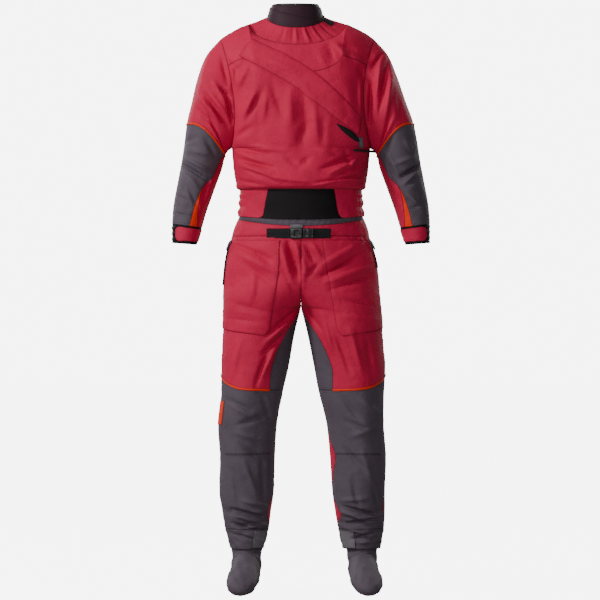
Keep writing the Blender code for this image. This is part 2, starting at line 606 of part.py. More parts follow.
def build_sleeve(side, tag):
    """Upper sleeve, forearm panels, wrist cuff and the elbow piping over their seam."""
    surface = sleeve_surface(side)
    flip = np.array([side, 1, 1])
    around = np.arange(SLEEVE_COLUMNS) * 2 * math.pi / SLEEVE_COLUMNS
    u, v = grid(around, SLEEVE_STATIONS)
    outer = surface(u, v)
    normal = normals(surface, u, np.maximum(v, 0.12), sleeve_core(u, v) * flip)
    half = SLEEVE_COLUMNS // 2
    front = armhole_normals(side, True)
    back = armhole_normals(side, False)
    for k in range(SLEEVE_COLUMNS):
        normal[0, k] = front[half - k] if k <= half else back[k - half]
    top = front[-1] + back[-1] + np.array([0.0, 0.0, 1.0])
    normal[0, 0] = top / np.linalg.norm(top)
    cut = pull_edges(outer, sides=(False, False))
    low = np.clip((-np.cos(around) - 0.8) / 0.2, 0, 1)[:, None]
    cut[0] += 0.4 * low * (outer[1] - outer[0]) / np.linalg.norm(outer[1] - outer[0], axis=-1, keepdims=True)
    shell("sleeve_upper_" + tag, cut, normal, CLOTH, "shell_red", ring=True)
    last_point, last_normal = outer[-1], normal[-1]
    above = outer[-2]
    stations = FOREARM["station"]
    edge_a = np.radians(FOREARM["front_seam"])
    edge_b = edge_a + np.radians(FOREARM["wedge"])
    edge_c = np.radians(FOREARM["back_seam"])
    cuff_point = surface(around, np.full(around.shape, 8.0))
    cuff_normal = normals(surface, around, np.full(around.shape, 8.0), sleeve_core(around, 8.0 + 0 * around) * flip)
    panels = (
        ("forearm_outer_", edge_c, edge_a, 0, 22, "shell_grey"),
        ("forearm_inner_", edge_b, edge_c + 2 * math.pi, 0, 8, "shell_red"),
        ("forearm_wedge_", edge_a, edge_b, 4, 2, "trim_orange"),
    )
    for name, start, stop, first, spans, slot in panels:
        t = np.linspace(0, 1, spans + 1)[None, :]
        u = start[first:, None] * (1 - t) + stop[first:, None] * t
        v = np.repeat(stations[first:, None], spans + 1, axis=1)
        outer = surface(u, v)
        normal = normals(surface, u, v, sleeve_core(u, v) * flip)
        if first == 0:
            outer[0] = on_chords(around, last_point, u[0], 2 * math.pi)
            normal[0] = on_chords(around, last_normal, u[0], 2 * math.pi)
        outer[-1] = on_chords(around, cuff_point, u[-1], 2 * math.pi)
        normal[-1] = on_chords(around, cuff_normal, u[-1], 2 * math.pi)
        shell(name + tag, pull_edges(outer, half=0.42), normal, CLOTH, slot)
    ring_shell("wrist_cuff_" + tag, surface, around, (8.0, 8.5, 9.0), NEOPRENE, "neoprene_black",
               lambda a, b: sleeve_core(a, b) * flip)
    below = surface(around, np.full(around.shape, 4.6))
    laid_strip("elbow_piping_" + tag, above, last_point, below, last_normal, True)


def laid_strip(name, above, seam, below, normal, ring):
    """Piping: a narrow strip centred on a seam, just outside the cloth."""
    up = above - seam
    down = below - seam
    up = PIPING_HALF * up / np.linalg.norm(up, axis=-1, keepdims=True)
    down = PIPING_HALF * down / np.linalg.norm(down, axis=-1, keepdims=True)
    outer = np.stack((seam + up, seam, seam + down)) + (PIPING_LIFT + PIPING_WALL) * normal[None]
    return shell(name, outer, np.repeat(normal[None], 3, axis=0), PIPING_WALL, "trim_orange", ring=ring)


def ring_shell(name, surface, around, stations, wall, slot, core_at, ends=(True, True)):
    """Closed band of a tube between two stations."""
    u, v = grid(around, stations)
    outer = surface(u, v)
    normal = normals(surface, u, v, core_at(u, v))
    return shell(name, pull_edges(outer, ends, (False, False)), normal, wall, slot, ring=True)


def build_neck():
    """Gathered neck band, the collar with its outer wrap, and the neck gasket."""
    front_cols = np.arange(0, 360, 7.5)
    alpha = np.radians(front_cols)
    seam_cols = np.radians(np.arange(0, 360.1, 22.5))
    ring = neck_seam(seam_cols)
    low = np.stack([np.interp(alpha, seam_cols, ring[:, k]) for k in range(3)], axis=-1)
    high = collar_loop(alpha, 0.0)
    rows = []
    for t in (0.0, 0.3, 0.65, 1.0):
        turn = (front_cols + 180) % 360 - 180
        there = np.exp(-((turn - 22) / 38.0) ** 4)
        sag = 3.0 * math.sin(math.pi * t)
        pleat = 2.6 * np.cos(turn * math.pi / 15.0) * there * math.sin(math.pi * t) ** 0.5
        point = low * (1 - t) + high * t
        out = stack(np.sin(alpha), -np.cos(alpha), 0.4 + 0 * alpha)
        rows.append(point + out * (pleat - sag)[:, None])
    outer = np.stack(rows)
    out = stack(np.sin(alpha) * 0.45, -np.cos(alpha) * 0.55, 0.75 + 0 * alpha)
    normal = np.repeat((out / np.linalg.norm(out, axis=-1, keepdims=True))[None], len(rows), axis=0)
    shell("neck_band", pull_edges(outer, sides=(False, False)), normal, CLOTH, "shell_red", ring=True)
    around = np.radians(np.arange(0, 360, 15.0))
    layers = (
        ("collar_wrap", 0.0, (0.0, 0.5, 1.0), NEOPRENE, "collar_plum", wrap_top),
        ("collar", 3.35, (0.02, 0.5, 1.0), NEOPRENE, "collar_plum", collar_top),
        ("neck_gasket", 6.7, (0.25, 0.6, 1.0), GASKET, "gasket_rubber", gasket_top),
    )
    for name, inset, steps, wall, slot, top in layers:
        rows = []
        for t in steps:
            base = collar_loop(around, 0.0)
            z = base[:, 2] * (1 - t) + np.maximum(top(around), base[:, 2] + COLLAR_LEAST) * t
            point = collar_loop(around, 0.0, z)
            point[:, 2] = z
            inward = stack(np.sin(around), -np.cos(around), 0 * around)
            rows.append(point - inset * inward)
        outer = np.stack(rows)
        normal = np.repeat(stack(np.sin(around), -np.cos(around), 0 * around)[None], len(rows), axis=0)
        shell(name, pull_edges(outer, (True, False), (False, False)), normal, wall, slot, ring=True)


def neck_seam(alpha):
    """Loop where the neck band joins the yoke and back."""
    s, c = np.sin(alpha), np.cos(alpha)
    z = NECK_SIDE_Z - np.where(c > 0, NECK_DIP_FRONT, -NECK_RISE_BACK) * np.abs(c)
    y = -np.where(c > 0, NECK_FRONT_Y, NECK_BACK_Y) * c
    return stack(NECK_HALF_WIDTH * s + lean(z), y, z)


COLLAR_LEAST = 4.0
COLLAR = {"half": 78.0, "front": 66.0, "back": 58.0, "shift": -3.5, "side_z": 24.0, "dip": 31.0, "rise": 10.0}


def collar_loop(alpha, grow, z=None):
    """Ring of the collar at a height, narrowing upward from its base."""
    s, c = np.sin(alpha), np.cos(alpha)
    base = COLLAR["side_z"] - np.where(c > 0, COLLAR["dip"], -COLLAR["rise"]) * np.abs(c)
    z = base if z is None else z
    narrow = np.clip((z - base) / 80.0, 0.0, 1.0) * 22.0
    x = (COLLAR["half"] + grow - narrow) * s
    y = -np.where(c > 0, COLLAR["front"], COLLAR["back"]) * c + narrow * 0.8 * c
    return stack(x + COLLAR["shift"] + LEAN, y, z)


def wrap_top(alpha):
    """Top edge of the outer wrap: high by the wearer's right ear, low across the front and left."""
    return 33.0 - 17.0 * np.sin(alpha) - 8.0 * np.cos(alpha)


def collar_top(alpha):
    """Top edge of the inner collar."""
    return 54.0 - 1.5 * np.cos(alpha) - 3.0 * np.sin(alpha)


def gasket_top(alpha):
    """Top edge of the neck gasket, a little above the collar."""
    return 59.0 + 0 * alpha


def build_waist(made):
    """Overskirt with its black front, the grey gusset under it and the waistband."""
    seam = OVERSKIRT
    z_steps = np.linspace(0, 1, 8)
    angles = np.linspace(0, 1, 13)

    def over(angle, t):
        c = np.cos(angle)
        bottom = seam["bottom_side"] + (seam["bottom_front"] - seam["bottom_side"]) * np.maximum(c, 0) ** 2
        z = HEM_TOP_Z + (bottom - HEM_TOP_Z) * t
        ring = waist_surface(seam["half"], seam["front"], seam["back"])(angle, z)
        side = np.exp(-((np.abs(np.degrees(angle)) - 92) / 26.0) ** 4)
        calm = np.clip((HEM_TOP_Z - 22 - z) / 8.0, 0, 1)
        puff = 3.2 * (1 + np.cos(t * 2 * math.pi * 3.5)) * 0.5 * side * calm
        flare = 5.0 * np.clip((t - 0.6) / 0.4, 0, 1) ** 2 * np.abs(np.sin(angle))
        return ring + stack(np.sin(angle), -np.cos(angle), 0 * angle) * (puff + flare)[..., None]

    def out(angle, t):
        return over(angle, t) * np.array([0.0, 0.0, 1.0])

    edge = np.radians(29.0 + 7.0 * z_steps)
    t = np.linspace(0, 1, 7)[None, :]
    u = -edge[:, None] * (1 - t) + edge[:, None] * t
    v = np.repeat(z_steps[:, None], 7, axis=1)
    shell("overskirt_front", pull_edges(over(u, v)), normals(over, u, v, out(u, v)), NEOPRENE, "neoprene_black")
    for side, tag in ((-1, "l"), (1, "r")):
        t = angles[None, :]
        u = side * (edge[:, None] * (1 - t) + math.pi * t)
        v = np.repeat(z_steps[:, None], len(angles), axis=1)
        shell("overskirt_side_" + tag, pull_edges(over(u, v)), normals(over, u, v, out(u, v)), CLOTH, "shell_red")
    around = np.radians(np.arange(0, 360, 90.0 / LEG_COLUMNS))
    top = waist_top(around)
    bottom = waist_bottom(around)
    middle = 0.5 * (top + bottom) + stack(np.sin(around), -np.cos(around), 0 * around) * 1.5
    outer = np.stack((top, middle, bottom))
    normal = np.repeat(stack(np.sin(around), -np.cos(around), 0.12 + 0 * around)[None], 3, axis=0)
    normal = normal / np.linalg.norm(normal, axis=-1, keepdims=True)
    shell("waistband", pull_edges(outer, sides=(False, False)), normal, CLOTH, "shell_red", ring=True)
    made["waistband"] = (outer, normal)
    lip = waist_surface(162.0, 104.2, 96.8)(around, top[:, 2] + 5.0 + 4.0 * np.abs(np.cos(around)))
    tuck = waist_surface(162.3, 104.2, 97.2)(around, np.full(around.shape, -498.0))
    outer = np.stack((tuck, lip, top))
    shell("waist_gusset", pull_edges(outer, (False, True), (False, False)), normal, CLOTH, "shell_grey", ring=True)


def waist_top(around):
    """Top edge of the waistband, dipped at the front."""
    s, c = np.sin(around), np.cos(around)
    z = WAIST_TOP["side_z"] + (WAIST_TOP["front_z"] - WAIST_TOP["side_z"]) * np.maximum(c, 0) ** 2
    y = -np.where(c > 0, WAIST_TOP["front"], WAIST_TOP["back"]) * c
    return stack(WAIST_TOP["half"] * s, y, z)


def waist_bottom(around):
    """Lower edge of the waistband, which is the top edge of the legs' panels."""
    points = []
    for angle in around:
        turn = (math.degrees(angle) + 180) % 360 - 180
        side = 1 if turn >= 0 else -1
        share = (90 - abs(turn)) / 90
        points.append(leg_surface(side)(np.array(share), np.array(0.0)))
    return np.array(points)


def leg_ring(side, knots, station_at):
    """Points and normals of a leg at given shares, as the shared line of a seam."""
    surface = leg_surface(side)

    def wrapped(share, station):
        return surface(share_wrap(share), station)

    station = station_at(knots)
    return wrapped(knots, station), normals(wrapped, knots, station, leg_core(side)(knots, station))


def leg_panel(name, side, shares, stations, wall, slot, sides=(True, True), seams=()):
    """One panel of a leg from arrays of shares and stations; seams name rows that follow a shared line."""
    surface = leg_surface(side)

    def wrapped(share, station):
        return surface(share_wrap(share), station)

    outer = wrapped(shares, stations)
    close = np.clip(share_wrap(shares), -SEAM_SHARE, SEAM_SHARE)
    level, core = np.maximum(stations, 0.01), leg_core(side)(shares, stations)
    normal = normals(surface, close, level, core)
    if name.startswith("inner"):
        middle = shares.shape[1] // 2
        both = normal[:, middle] + normals(surface, -close, level, core)[:, middle]
        normal[:, middle] = both / np.linalg.norm(both, axis=-1, keepdims=True)
    for row, knots, points, lines in seams:
        outer[row] = on_chords(knots, points, share_wrap(shares[row]), 2.0)
        normal[row] = on_chords(knots, lines, share_wrap(shares[row]), 2.0)
    half = 0.33 if name.startswith(("shin", "calf")) else SEAM_HALF
    shell(name, pull_edges(outer, sides=sides, half=half), normal, wall, slot)
    return outer, normal


def build_leg(side, tag, made):
    """Thigh panels, inner leg panel, shin, calf, ankle cuff and sock of one leg."""
    t = np.linspace(0, 1, LEG_COLUMNS + 1)[None, :]
    edge = float(smooth(8.93, GREY_EDGE["station"], GREY_EDGE["share"]))
    half = np.concatenate((edge * t[0, 1:], edge + (1 - edge) * np.array([0.5, 1.0])))
    knee_knots = np.concatenate((-half[-2::-1], [1e-6], half))
    knee_line = (knee_knots,) + leg_ring(side, knee_knots, knee_station)
    ankle_knots = np.linspace(-1, 1, ANKLE_COLUMNS + 1)[:-1] + 1e-6
    ankle_line = (ankle_knots,) + leg_ring(side, ankle_knots, lambda share: np.full(share.shape, 14.0))
    for front in (True, False):
        shares, stations = [], []
        for station in LEG_STEPS:
            edge = 1.0 if station < 6.0 else GREY_EDGE["share"][0]
            shares.append(edge * t[0])
            stations.append(np.full(t.shape[1], station))
        for step in THIGH_STEPS:
            probe = 6.0 + (8.93 - 6.0) * step
            share = float(smooth(probe, GREY_EDGE["station"], GREY_EDGE["share"])) * t[0]
            shares.append(share)
            stations.append(6.0 + (knee_station(share) - 6.0) * step)
        shares, stations = np.array(shares), np.array(stations)
        face = 1.0 if front else -1.0
        name = "thigh_front_" if front else "thigh_back_"
        shares = np.where(shares == 0, 1e-6, shares)
        made[name + tag] = leg_panel(name + tag, side, face * shares, stations, CLOTH, "shell_red",
                                      seams=((-1,) + knee_line,))
    steps = (0.0,) + THIGH_STEPS
    probe = 6.0 + (8.93 - 6.0) * np.array(steps)
    edge = smooth(probe, GREY_EDGE["station"], GREY_EDGE["share"])[:, None]
    w = np.linspace(0, 1, 5)[None, :]
    shares = edge * (1 - w) + (2 - edge) * w
    stations = 6.0 + (knee_station(shares) - 6.0) * np.array(steps)[:, None]
    leg_panel("inner_leg_" + tag, side, shares, stations, CLOTH, "shell_grey", seams=((-1,) + knee_line,))
    table = SHIN_LEFT if side < 0 else SHIN_RIGHT
    fractions = np.concatenate(([0.0], half))
    for name, slot in (("shin_", "shell_grey"), ("calf_", "shell_red")):
        w = fractions if name == "shin_" else 1.0 - fractions[::-1]
        shares, stations = [], []
        for step in SHIN_STEPS:
            probe = 8.7 + (14.0 - 8.7) * step
            start = float(smooth(probe, table["station"], table["outer"]))
            stop = float(smooth(probe, table["station"], table["inner"]))
            if step == 0.0:
                start, stop = 0.0, 1.0
            if name == "calf_":
                start, stop = stop, 2.0 + start
            share = start * (1 - w) + stop * w
            knee = knee_station(share)
            shares.append(share)
            stations.append(knee + (14.0 - knee) * step)
        made[name + tag] = leg_panel(name + tag, side, np.array(shares), np.array(stations), CLOTH, slot,
                                     seams=((0,) + knee_line, (-1,) + ankle_line))
    surface = leg_surface(side)
    ring_shell("ankle_cuff_" + tag, surface, ankle_knots, (14.0, 14.3, 14.65, 15.0), CLOTH, "shell_grey", leg_core(side))
    build_sock(side, tag)


def build_sock(side, tag):
    """Sock sewn inside the ankle cuff, closed at the toe."""
    surface = sock_surface(side)
    around = np.arange(SOCK_COLUMNS) * 2 * math.pi / SOCK_COLUMNS
    stations = (0.0, 1.0, 1.8, 2.7, 3.8, 5.0, 6.1, 7.1, 8.0)
    u, v = grid(around, stations)
    outer = surface(u, v)
    core = np.repeat(outer.mean(axis=1, keepdims=True), outer.shape[1], axis=1)
    normal = normals(surface, u, np.minimum(v, 7.7), core)
    normal[-1] = np.array([0.0, -0.91, -0.41])
    level = (outer[0] - core[0]) * np.array([1.0, 1.0, 0.0])
    normal[0] = level / np.linalg.norm(level, axis=-1, keepdims=True)
    shell("sock_" + tag, pull_edges(outer, (False, False), (False, False)), normal, GASKET, "shell_grey",
          ring=True, tip=True)


def front_base(grids):
    """Front of the garment by x and z: the facet met first from the front, with its blended normal."""
    points, lines = [], []
    for outer, normal in grids:
        corner = [outer[:-1, :-1], outer[:-1, 1:], outer[1:, 1:], outer[1:, :-1]]
        facing = [normal[:-1, :-1], normal[:-1, 1:], normal[1:, 1:], normal[1:, :-1]]
        for k in ((0, 1, 2), (0, 2, 3)):
            points.append(np.stack([corner[j].reshape(-1, 3) for j in k], axis=1))
            lines.append(np.stack([facing[j].reshape(-1, 3) for j in k], axis=1))
    points, lines = np.concatenate(points), np.concatenate(lines)
    a, b, c = points[:, 0], points[:, 1], points[:, 2]
    whole = (b[:, 0] - a[:, 0]) * (c[:, 2] - a[:, 2]) - (c[:, 0] - a[:, 0]) * (b[:, 2] - a[:, 2])
    whole = np.where(np.abs(whole) < 1e-6, 1e-6, whole)

    def at(x, z):
        shape = np.shape(x)
        px, pz = np.ravel(x)[:, None], np.ravel(z)[:, None]
        wb = ((px - a[:, 0]) * (c[:, 2] - a[:, 2]) - (c[:, 0] - a[:, 0]) * (pz - a[:, 2])) / whole
        wc = ((b[:, 0] - a[:, 0]) * (pz - a[:, 2]) - (px - a[:, 0]) * (b[:, 2] - a[:, 2])) / whole
        wa = 1 - wb - wc
        out = np.maximum(np.maximum(-wa, -wb), -wc)
        y = wa * a[:, 1] + wb * b[:, 1] + wc * c[:, 1]
        pick = np.argmin(np.where(out < 1e-4, y, 1e6 * (1 + np.clip(out, 0, 50))), axis=1)
        k = np.arange(len(pick))
        weight = np.stack((wa[k, pick], wb[k, pick], wc[k, pick]), axis=1)[:, :, None]
        point = (weight * points[pick]).sum(axis=1)
        line = (weight * lines[pick]).sum(axis=1)
        line = line / np.linalg.norm(line, axis=1, keepdims=True)
        return point.reshape(*shape, 3), line.reshape(*shape, 3)
    return at


def grid_base(outer, normal):
    """Point and normal on a panel by row and column numbers, between its corners along straight lines."""
    def at(row, column):
        r = np.clip(np.floor(row).astype(int), 0, outer.shape[0] - 2)
        c = np.clip(np.floor(column).astype(int), 0, outer.shape[1] - 2)
        f, g = (row - r)[..., None], (column - c)[..., None]

        def mix(of):
            return ((1 - f) * ((1 - g) * of[r, c] + g * of[r, c + 1])
                    + f * ((1 - g) * of[r + 1, c] + g * of[r + 1, c + 1]))
        line = mix(normal)
        return mix(outer), line / np.linalg.norm(line, axis=-1, keepdims=True)
    return at


def lay_on(name, base, a, b, wall, slot, extra=0.0):
    """Piece lying on a panel: its own points are the panel's, moved out until the whole piece is clear."""
    point, line = base(a, b)
    need = 0.0
    for f in (0.0, 0.25, 0.5, 0.75, 1.0):
        for g in (0.0, 0.25, 0.5, 0.75, 1.0):
            def mix(of):
                return ((1 - f) * ((1 - g) * of[:-1, :-1] + g * of[:-1, 1:])
                        + f * ((1 - g) * of[1:, :-1] + g * of[1:, 1:]))
            under, out = base(mix(a), mix(b))
            need = max(need, float(np.sum((under - mix(point)) * out, axis=-1).max()))
    lift = LAID_GAP + need + extra
    outer = point + (lift + wall) * line
    shell(name, outer, line, wall, slot)
    return outer, line


def strip_between(upper, lower, spans):
    """Grid between two lines of named (x, z) points, given at the same number of stations."""
    upper, lower = np.array(upper, float), np.array(lower, float)
    w = np.linspace(0, 1, spans + 1)[:, None, None]
    both = upper[None] * (1 - w) + lower[None] * w
    return both[..., 0], both[..., 1]


FLAP_HEAD = ("upper_x", "upper_z", "lower_x", "lower_z")
FLAP_ROWS = (
    (-128.0, -40.0, -164.0, -86.0),
    (-104.0, -52.0, -132.0, -104.0),
    (-78.0, -65.0, -98.0, -122.0),
    (-46.0, -79.0, -66.0, -140.0),
    (-20.0, -94.0, -34.0, -158.0),
    (6.0, -109.0, -4.0, -179.0),
    (32.0, -127.0, 26.0, -203.0),
    (58.0, -147.0, 56.0, -224.0),
    (88.0, -174.0, 86.0, -248.0),
    (112.0, -197.0, 108.0, -264.0),
    (136.0, -222.0, 131.0, -281.0),
    (158.0, -248.0, 152.0, -298.0),
)
ZIP_HEAD = ("x", "z", "half")
ZIP_ROWS = (
    (96.0, -270.0, 1.5),
    (112.0, -281.0, 6.0),
    (128.0, -292.0, 8.0),
    (144.0, -305.0, 7.0),
    (154.0, -314.0, 3.0),
)


def build_chest_trim(made):
    """Zip flap, the end of the entry zip below it, its webbing strap and T bar."""
    base = front_base((made["trunk_front"],))
    flap = named(FLAP_HEAD, FLAP_ROWS)
    upper = np.stack((flap["upper_x"], flap["upper_z"]), axis=1)
    lower = np.stack((flap["lower_x"], flap["lower_z"]), axis=1)
    x, z = strip_between(upper, lower, 3)
    lay_on("zip_flap", base, x, z, 1.6, "shell_red")
    row = named(ZIP_HEAD, ZIP_ROWS)
    across = np.array((0.55, 0.83))
    centre = np.stack((row["x"], row["z"]), axis=1)
    x, z = strip_between(centre + across * row["half"][:, None], centre - across * row["half"][:, None], 2)
    lay_on("entry_zip", base, x, z, 1.6, "zip_black")
    top = ((153.0, -303.0), (164.0, -303.0))
    bottom = ((155.0, -330.0), (166.0, -330.0))
    x, z = strip_between(top, bottom, 2)
    strap, line = lay_on("zip_strap", base, x, z, 1.2, "strap_grey", 0.9)
    end = strap[-1].mean(axis=0)
    low = end[2] - BAR["thick"]
    spots = np.array([end[0] - 22.0, end[0] - 8.0, end[0] + 8.0, end[0] + 18.0])
    point, line = base(spots, np.full(spots.shape, low))
    run = point[-1] - point[0]
    run = run / np.linalg.norm(run)
    out = np.cross(run, np.array([0.0, 0.0, 1.0]))
    out = out * -np.sign(out[1]) / np.linalg.norm(out)
    lift = np.max((point - end) @ out) + BAR["deep"] * 0.5 + 0.4
    centre = end + out * max(lift, 0.0) + np.array([0.0, 0.0, low - end[2] + BAR["thick"] * 0.35])
    bar_box("zip_t_bar", centre, run, out)


BAR = {"length": 58.0, "thick": 7.0, "deep": 7.0, "sides": 6}


def bar_box(name, centre, run, out):
    """Moulded bar with six sides and narrowed ends, lying along the cloth."""
    points, faces = [], []
    sides = BAR["sides"]
    up = np.cross(run, out)
    for share, size in ((-0.5, 0.6), (-0.44, 1.0), (0.44, 1.0), (0.5, 0.6)):
        for k in range(sides):
            turn = 2 * math.pi * (k + 0.5) / sides
            points.append(centre + run * share * BAR["length"]
                          + 0.5 * size * (out * BAR["deep"] * math.cos(turn) + up * BAR["thick"] * math.sin(turn)))
    for row in range(3):
        for k in range(sides):
            j = (k + 1) % sides
            faces.append((row * sides + k, row * sides + j, (row + 1) * sides + j, (row + 1) * sides + k))
    faces.append(tuple(reversed(range(sides))))
    faces.append(tuple(range(3 * sides, 4 * sides)))
    return finish_mesh(name, points, faces, "buckle_plastic")


def build_waist_trim(made):
    """Belt webbing in two lengths and the two halves of the buckle."""
    outer, normal = made["waistband"]
    shift = LEG_COLUMNS * 2
    base = grid_base(np.roll(outer, shift, axis=1), np.roll(normal, shift, axis=1))
    per_mm = LEG_COLUMNS / (WAIST_TOP["half"] * 1.03 * math.pi / 2 * 0.84)

    def place(x0, x1, top, bottom, spans):
        columns = shift + np.linspace(x0, x1, spans + 1) * per_mm
        rows = np.array((top, 0.5 * (top + bottom), bottom))
        return np.repeat(rows[:, None], spans + 1, axis=1), np.repeat(columns[None], 3, axis=0)

    for name, x0, x1 in (("belt_webbing_l", -90.0, -30.0), ("belt_webbing_r", 34.0, 78.0)):
        a, b = place(x0, x1, 0.35, 1.7, 3)
        lay_on(name, base, a, b, 1.6, "webbing_black")
    a, b = place(-28.5, 4.0, 0.2, 1.85, 2)
    lay_on("buckle_socket", base, a, b, 7.0, "buckle_plastic", 0.4)
    a, b = place(4.6, 32.5, 0.3, 1.75, 2)
    lay_on("buckle_clip", base, a, b, 6.0, "buckle_plastic", 0.4)


TAB_HEAD = ("angle", "top", "bottom")
CUFF_TAB = named(TAB_HEAD, ((44.0, 8.26, 8.62), (52.0, 8.14, 8.8), (90.0, 8.1, 8.84), (130.0, 8.1, 8.84),
                            (185.0, 8.12, 8.82)))


def build_sleeve_trim(side, tag):
    """Red tab wrapped on the wrist cuff."""
    surface = sleeve_surface(side)
    around = np.arange(SLEEVE_COLUMNS + 1) * 2 * math.pi / SLEEVE_COLUMNS
    u, v = grid(around, (8.0, 8.5, 9.0))
    normal = normals(surface, u, v, sleeve_core(u, v) * np.array([side, 1, 1]))
    base = grid_base(surface(u, v), normal)
    angle = np.linspace(44.0, 185.0, 9)
    top = np.interp(angle, CUFF_TAB["angle"], CUFF_TAB["top"])
    bottom = np.interp(angle, CUFF_TAB["angle"], CUFF_TAB["bottom"])
    w = np.linspace(0, 1, 3)[:, None]
    rows = (top * (1 - w) + bottom * w - 8.0) * 2.0
    columns = np.repeat((angle / 15.0)[None], 3, axis=0)
    lay_on("cuff_tab_" + tag, base, rows, columns, 1.4, "shell_red")


POCKET_LIFT = {-1: 0.52, 1: 0.56}
POCKET_HEAD = ("row", "inner", "outer")
POCKET = named(POCKET_HEAD, (
    (0.6, 6.5, 0.25), (2.0, 6.5, 0.25), (4.0, 6.3, 0.25), (5.0, 6.0, 0.25),
    (6.0, 5.2, 0.25), (7.0, 5.0, 0.25), (7.35, 3.6, 0.25)))


def build_leg_trim(side, tag, made):
    """Thigh pocket, its zip and pull tab, the knee piping and the ankle tab."""
    outer, normal = made["thigh_front_" + tag]
    base = grid_base(outer, normal)
    rows = np.array((0.6, 1.0, 2.0, 3.0, 4.0, 5.0, 6.0, 7.0, 7.35))
    inner = np.interp(rows, POCKET["row"], POCKET["inner"])
    start = np.interp(rows, POCKET["row"], POCKET["outer"])
    w = np.linspace(0, 1, 7)[None, :]
    columns = start[:, None] * (1 - w) + inner[:, None] * w
    pocket = lay_on("thigh_pocket_" + tag, base, np.repeat(rows[:, None], 7, axis=1), columns, 1.2, "shell_red",
                    POCKET_LIFT[side])
    on_pocket = grid_base(*pocket)
    length = (0.3, 4.3) if side < 0 else (0.2, 3.2)
    track = np.linspace(length[0], length[1], 6)
    centre = 1.25 - 0.17 * track
    a = np.repeat(track[:, None], 3, axis=1)
    b = centre[:, None] + np.array([-0.13, 0.0, 0.13])[None]
    zip_outer, zip_line = lay_on("pocket_zip_" + tag, on_pocket, a, b, 1.4, "zip_black")
    pull_tab(side, tag, zip_outer, zip_line)
    knee, line = outer[-1], normal[-1]
    below = made["shin_" + tag][0][1]
    below = below[:LEG_COLUMNS + 1]
    laid_strip("knee_piping_" + tag, outer[-2], knee, below, line, False)
    surface = leg_surface(side)
    knots = np.linspace(-1, 1, ANKLE_COLUMNS + 1)
    u, v = grid(knots + 1e-6, (14.0, 14.3, 14.65, 15.0))
    normal = normals(surface, u, v, leg_core(side)(u, v))
    base = grid_base(surface(u, v), normal)
    share = np.linspace(0.60, 0.88, 4)
    rows = np.repeat(np.array((0.25, 1.5, 2.8))[:, None], 4, axis=1)
    columns = np.repeat(((share + 1) * ANKLE_COLUMNS / 2)[None], 3, axis=0)
    lay_on("ankle_tab_" + tag, base, rows, columns, 1.2, "strap_grey", 1.0)


PULL = {"length": 24.0, "width": 6.0, "thick": 1.8}


def pull_tab(side, tag, zip_outer, zip_line):
    """Hard pull tab of a pocket zip, hinged at its top on the slider."""
    start, line = zip_outer[0, 1], zip_line[0, 1]
    along = zip_outer[2, 1] - start
    along = along / np.linalg.norm(along)
    across = np.cross(along, line)
    hinge = start + along * 6.0 + line * (0.5 + PULL["thick"] / 2)
    outline = ((-0.5, 0.0), (-0.5, 0.8), (-0.3, 1.0), (0.3, 1.0), (0.5, 0.8), (0.5, 0.0))
    points, faces = [], []
    for level in (-0.5, 0.5):
        for wide, long in outline:
            points.append(hinge + across * wide * PULL["width"] + along * (long * PULL["length"] - 0.4)
                          + line * level * PULL["thick"])
    count = len(outline)
    faces.append(tuple(range(count)))
    faces.append(tuple(reversed(range(count, 2 * count))))
    for k in range(count):
        j = (k + 1) % count
        faces.append((k, k + count, j + count, j))
    finish_mesh("pull_tab_" + tag, np.array(points), faces, "strap_grey", origin=tuple(hinge))


def build_all():
    """Clear the scene and build every panel."""
    for old in list(bpy.data.objects):
        bpy.data.objects.remove(old, do_unlink=True)
    made = {}
    build_trunk(made)
    build_chest_trim(made)
    build_neck()
    for side, tag in ((-1, "l"), (1, "r")):
        build_sleeve(side, tag)
        build_sleeve_trim(side, tag)
    build_waist(made)
    build_waist_trim(made)
    for side, tag in ((-1, "l"), (1, "r")):
        build_leg(side, tag, made)
        build_leg_trim(side, tag, made)


build_all()
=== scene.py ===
import json
import math

import bpy
import mathutils
import numpy as np
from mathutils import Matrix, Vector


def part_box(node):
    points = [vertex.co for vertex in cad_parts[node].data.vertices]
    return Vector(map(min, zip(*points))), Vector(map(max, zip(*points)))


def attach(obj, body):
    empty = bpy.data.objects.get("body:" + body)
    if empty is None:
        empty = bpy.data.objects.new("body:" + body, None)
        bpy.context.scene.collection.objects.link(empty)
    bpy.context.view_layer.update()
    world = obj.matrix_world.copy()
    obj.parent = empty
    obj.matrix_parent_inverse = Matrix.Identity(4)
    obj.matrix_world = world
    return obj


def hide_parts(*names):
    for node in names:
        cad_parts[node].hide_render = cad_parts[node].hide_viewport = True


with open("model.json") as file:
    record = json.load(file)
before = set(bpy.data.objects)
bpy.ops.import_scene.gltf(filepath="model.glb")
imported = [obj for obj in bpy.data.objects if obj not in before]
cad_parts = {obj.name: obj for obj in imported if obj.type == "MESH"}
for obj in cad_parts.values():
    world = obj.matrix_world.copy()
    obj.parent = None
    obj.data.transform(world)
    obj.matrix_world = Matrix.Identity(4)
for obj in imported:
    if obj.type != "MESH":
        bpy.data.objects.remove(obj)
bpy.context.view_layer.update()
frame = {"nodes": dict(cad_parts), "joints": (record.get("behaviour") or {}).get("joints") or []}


# Lengths are in millimetres and angles in degrees up to the meshes, which are in metres. A station counts
# along a sleeve, leg or sock from its top, and a share or column counts across a panel.
MM = 0.001
STEP = 1e-3
CLOTH = 2.0
PIPING_HALF = 3.2

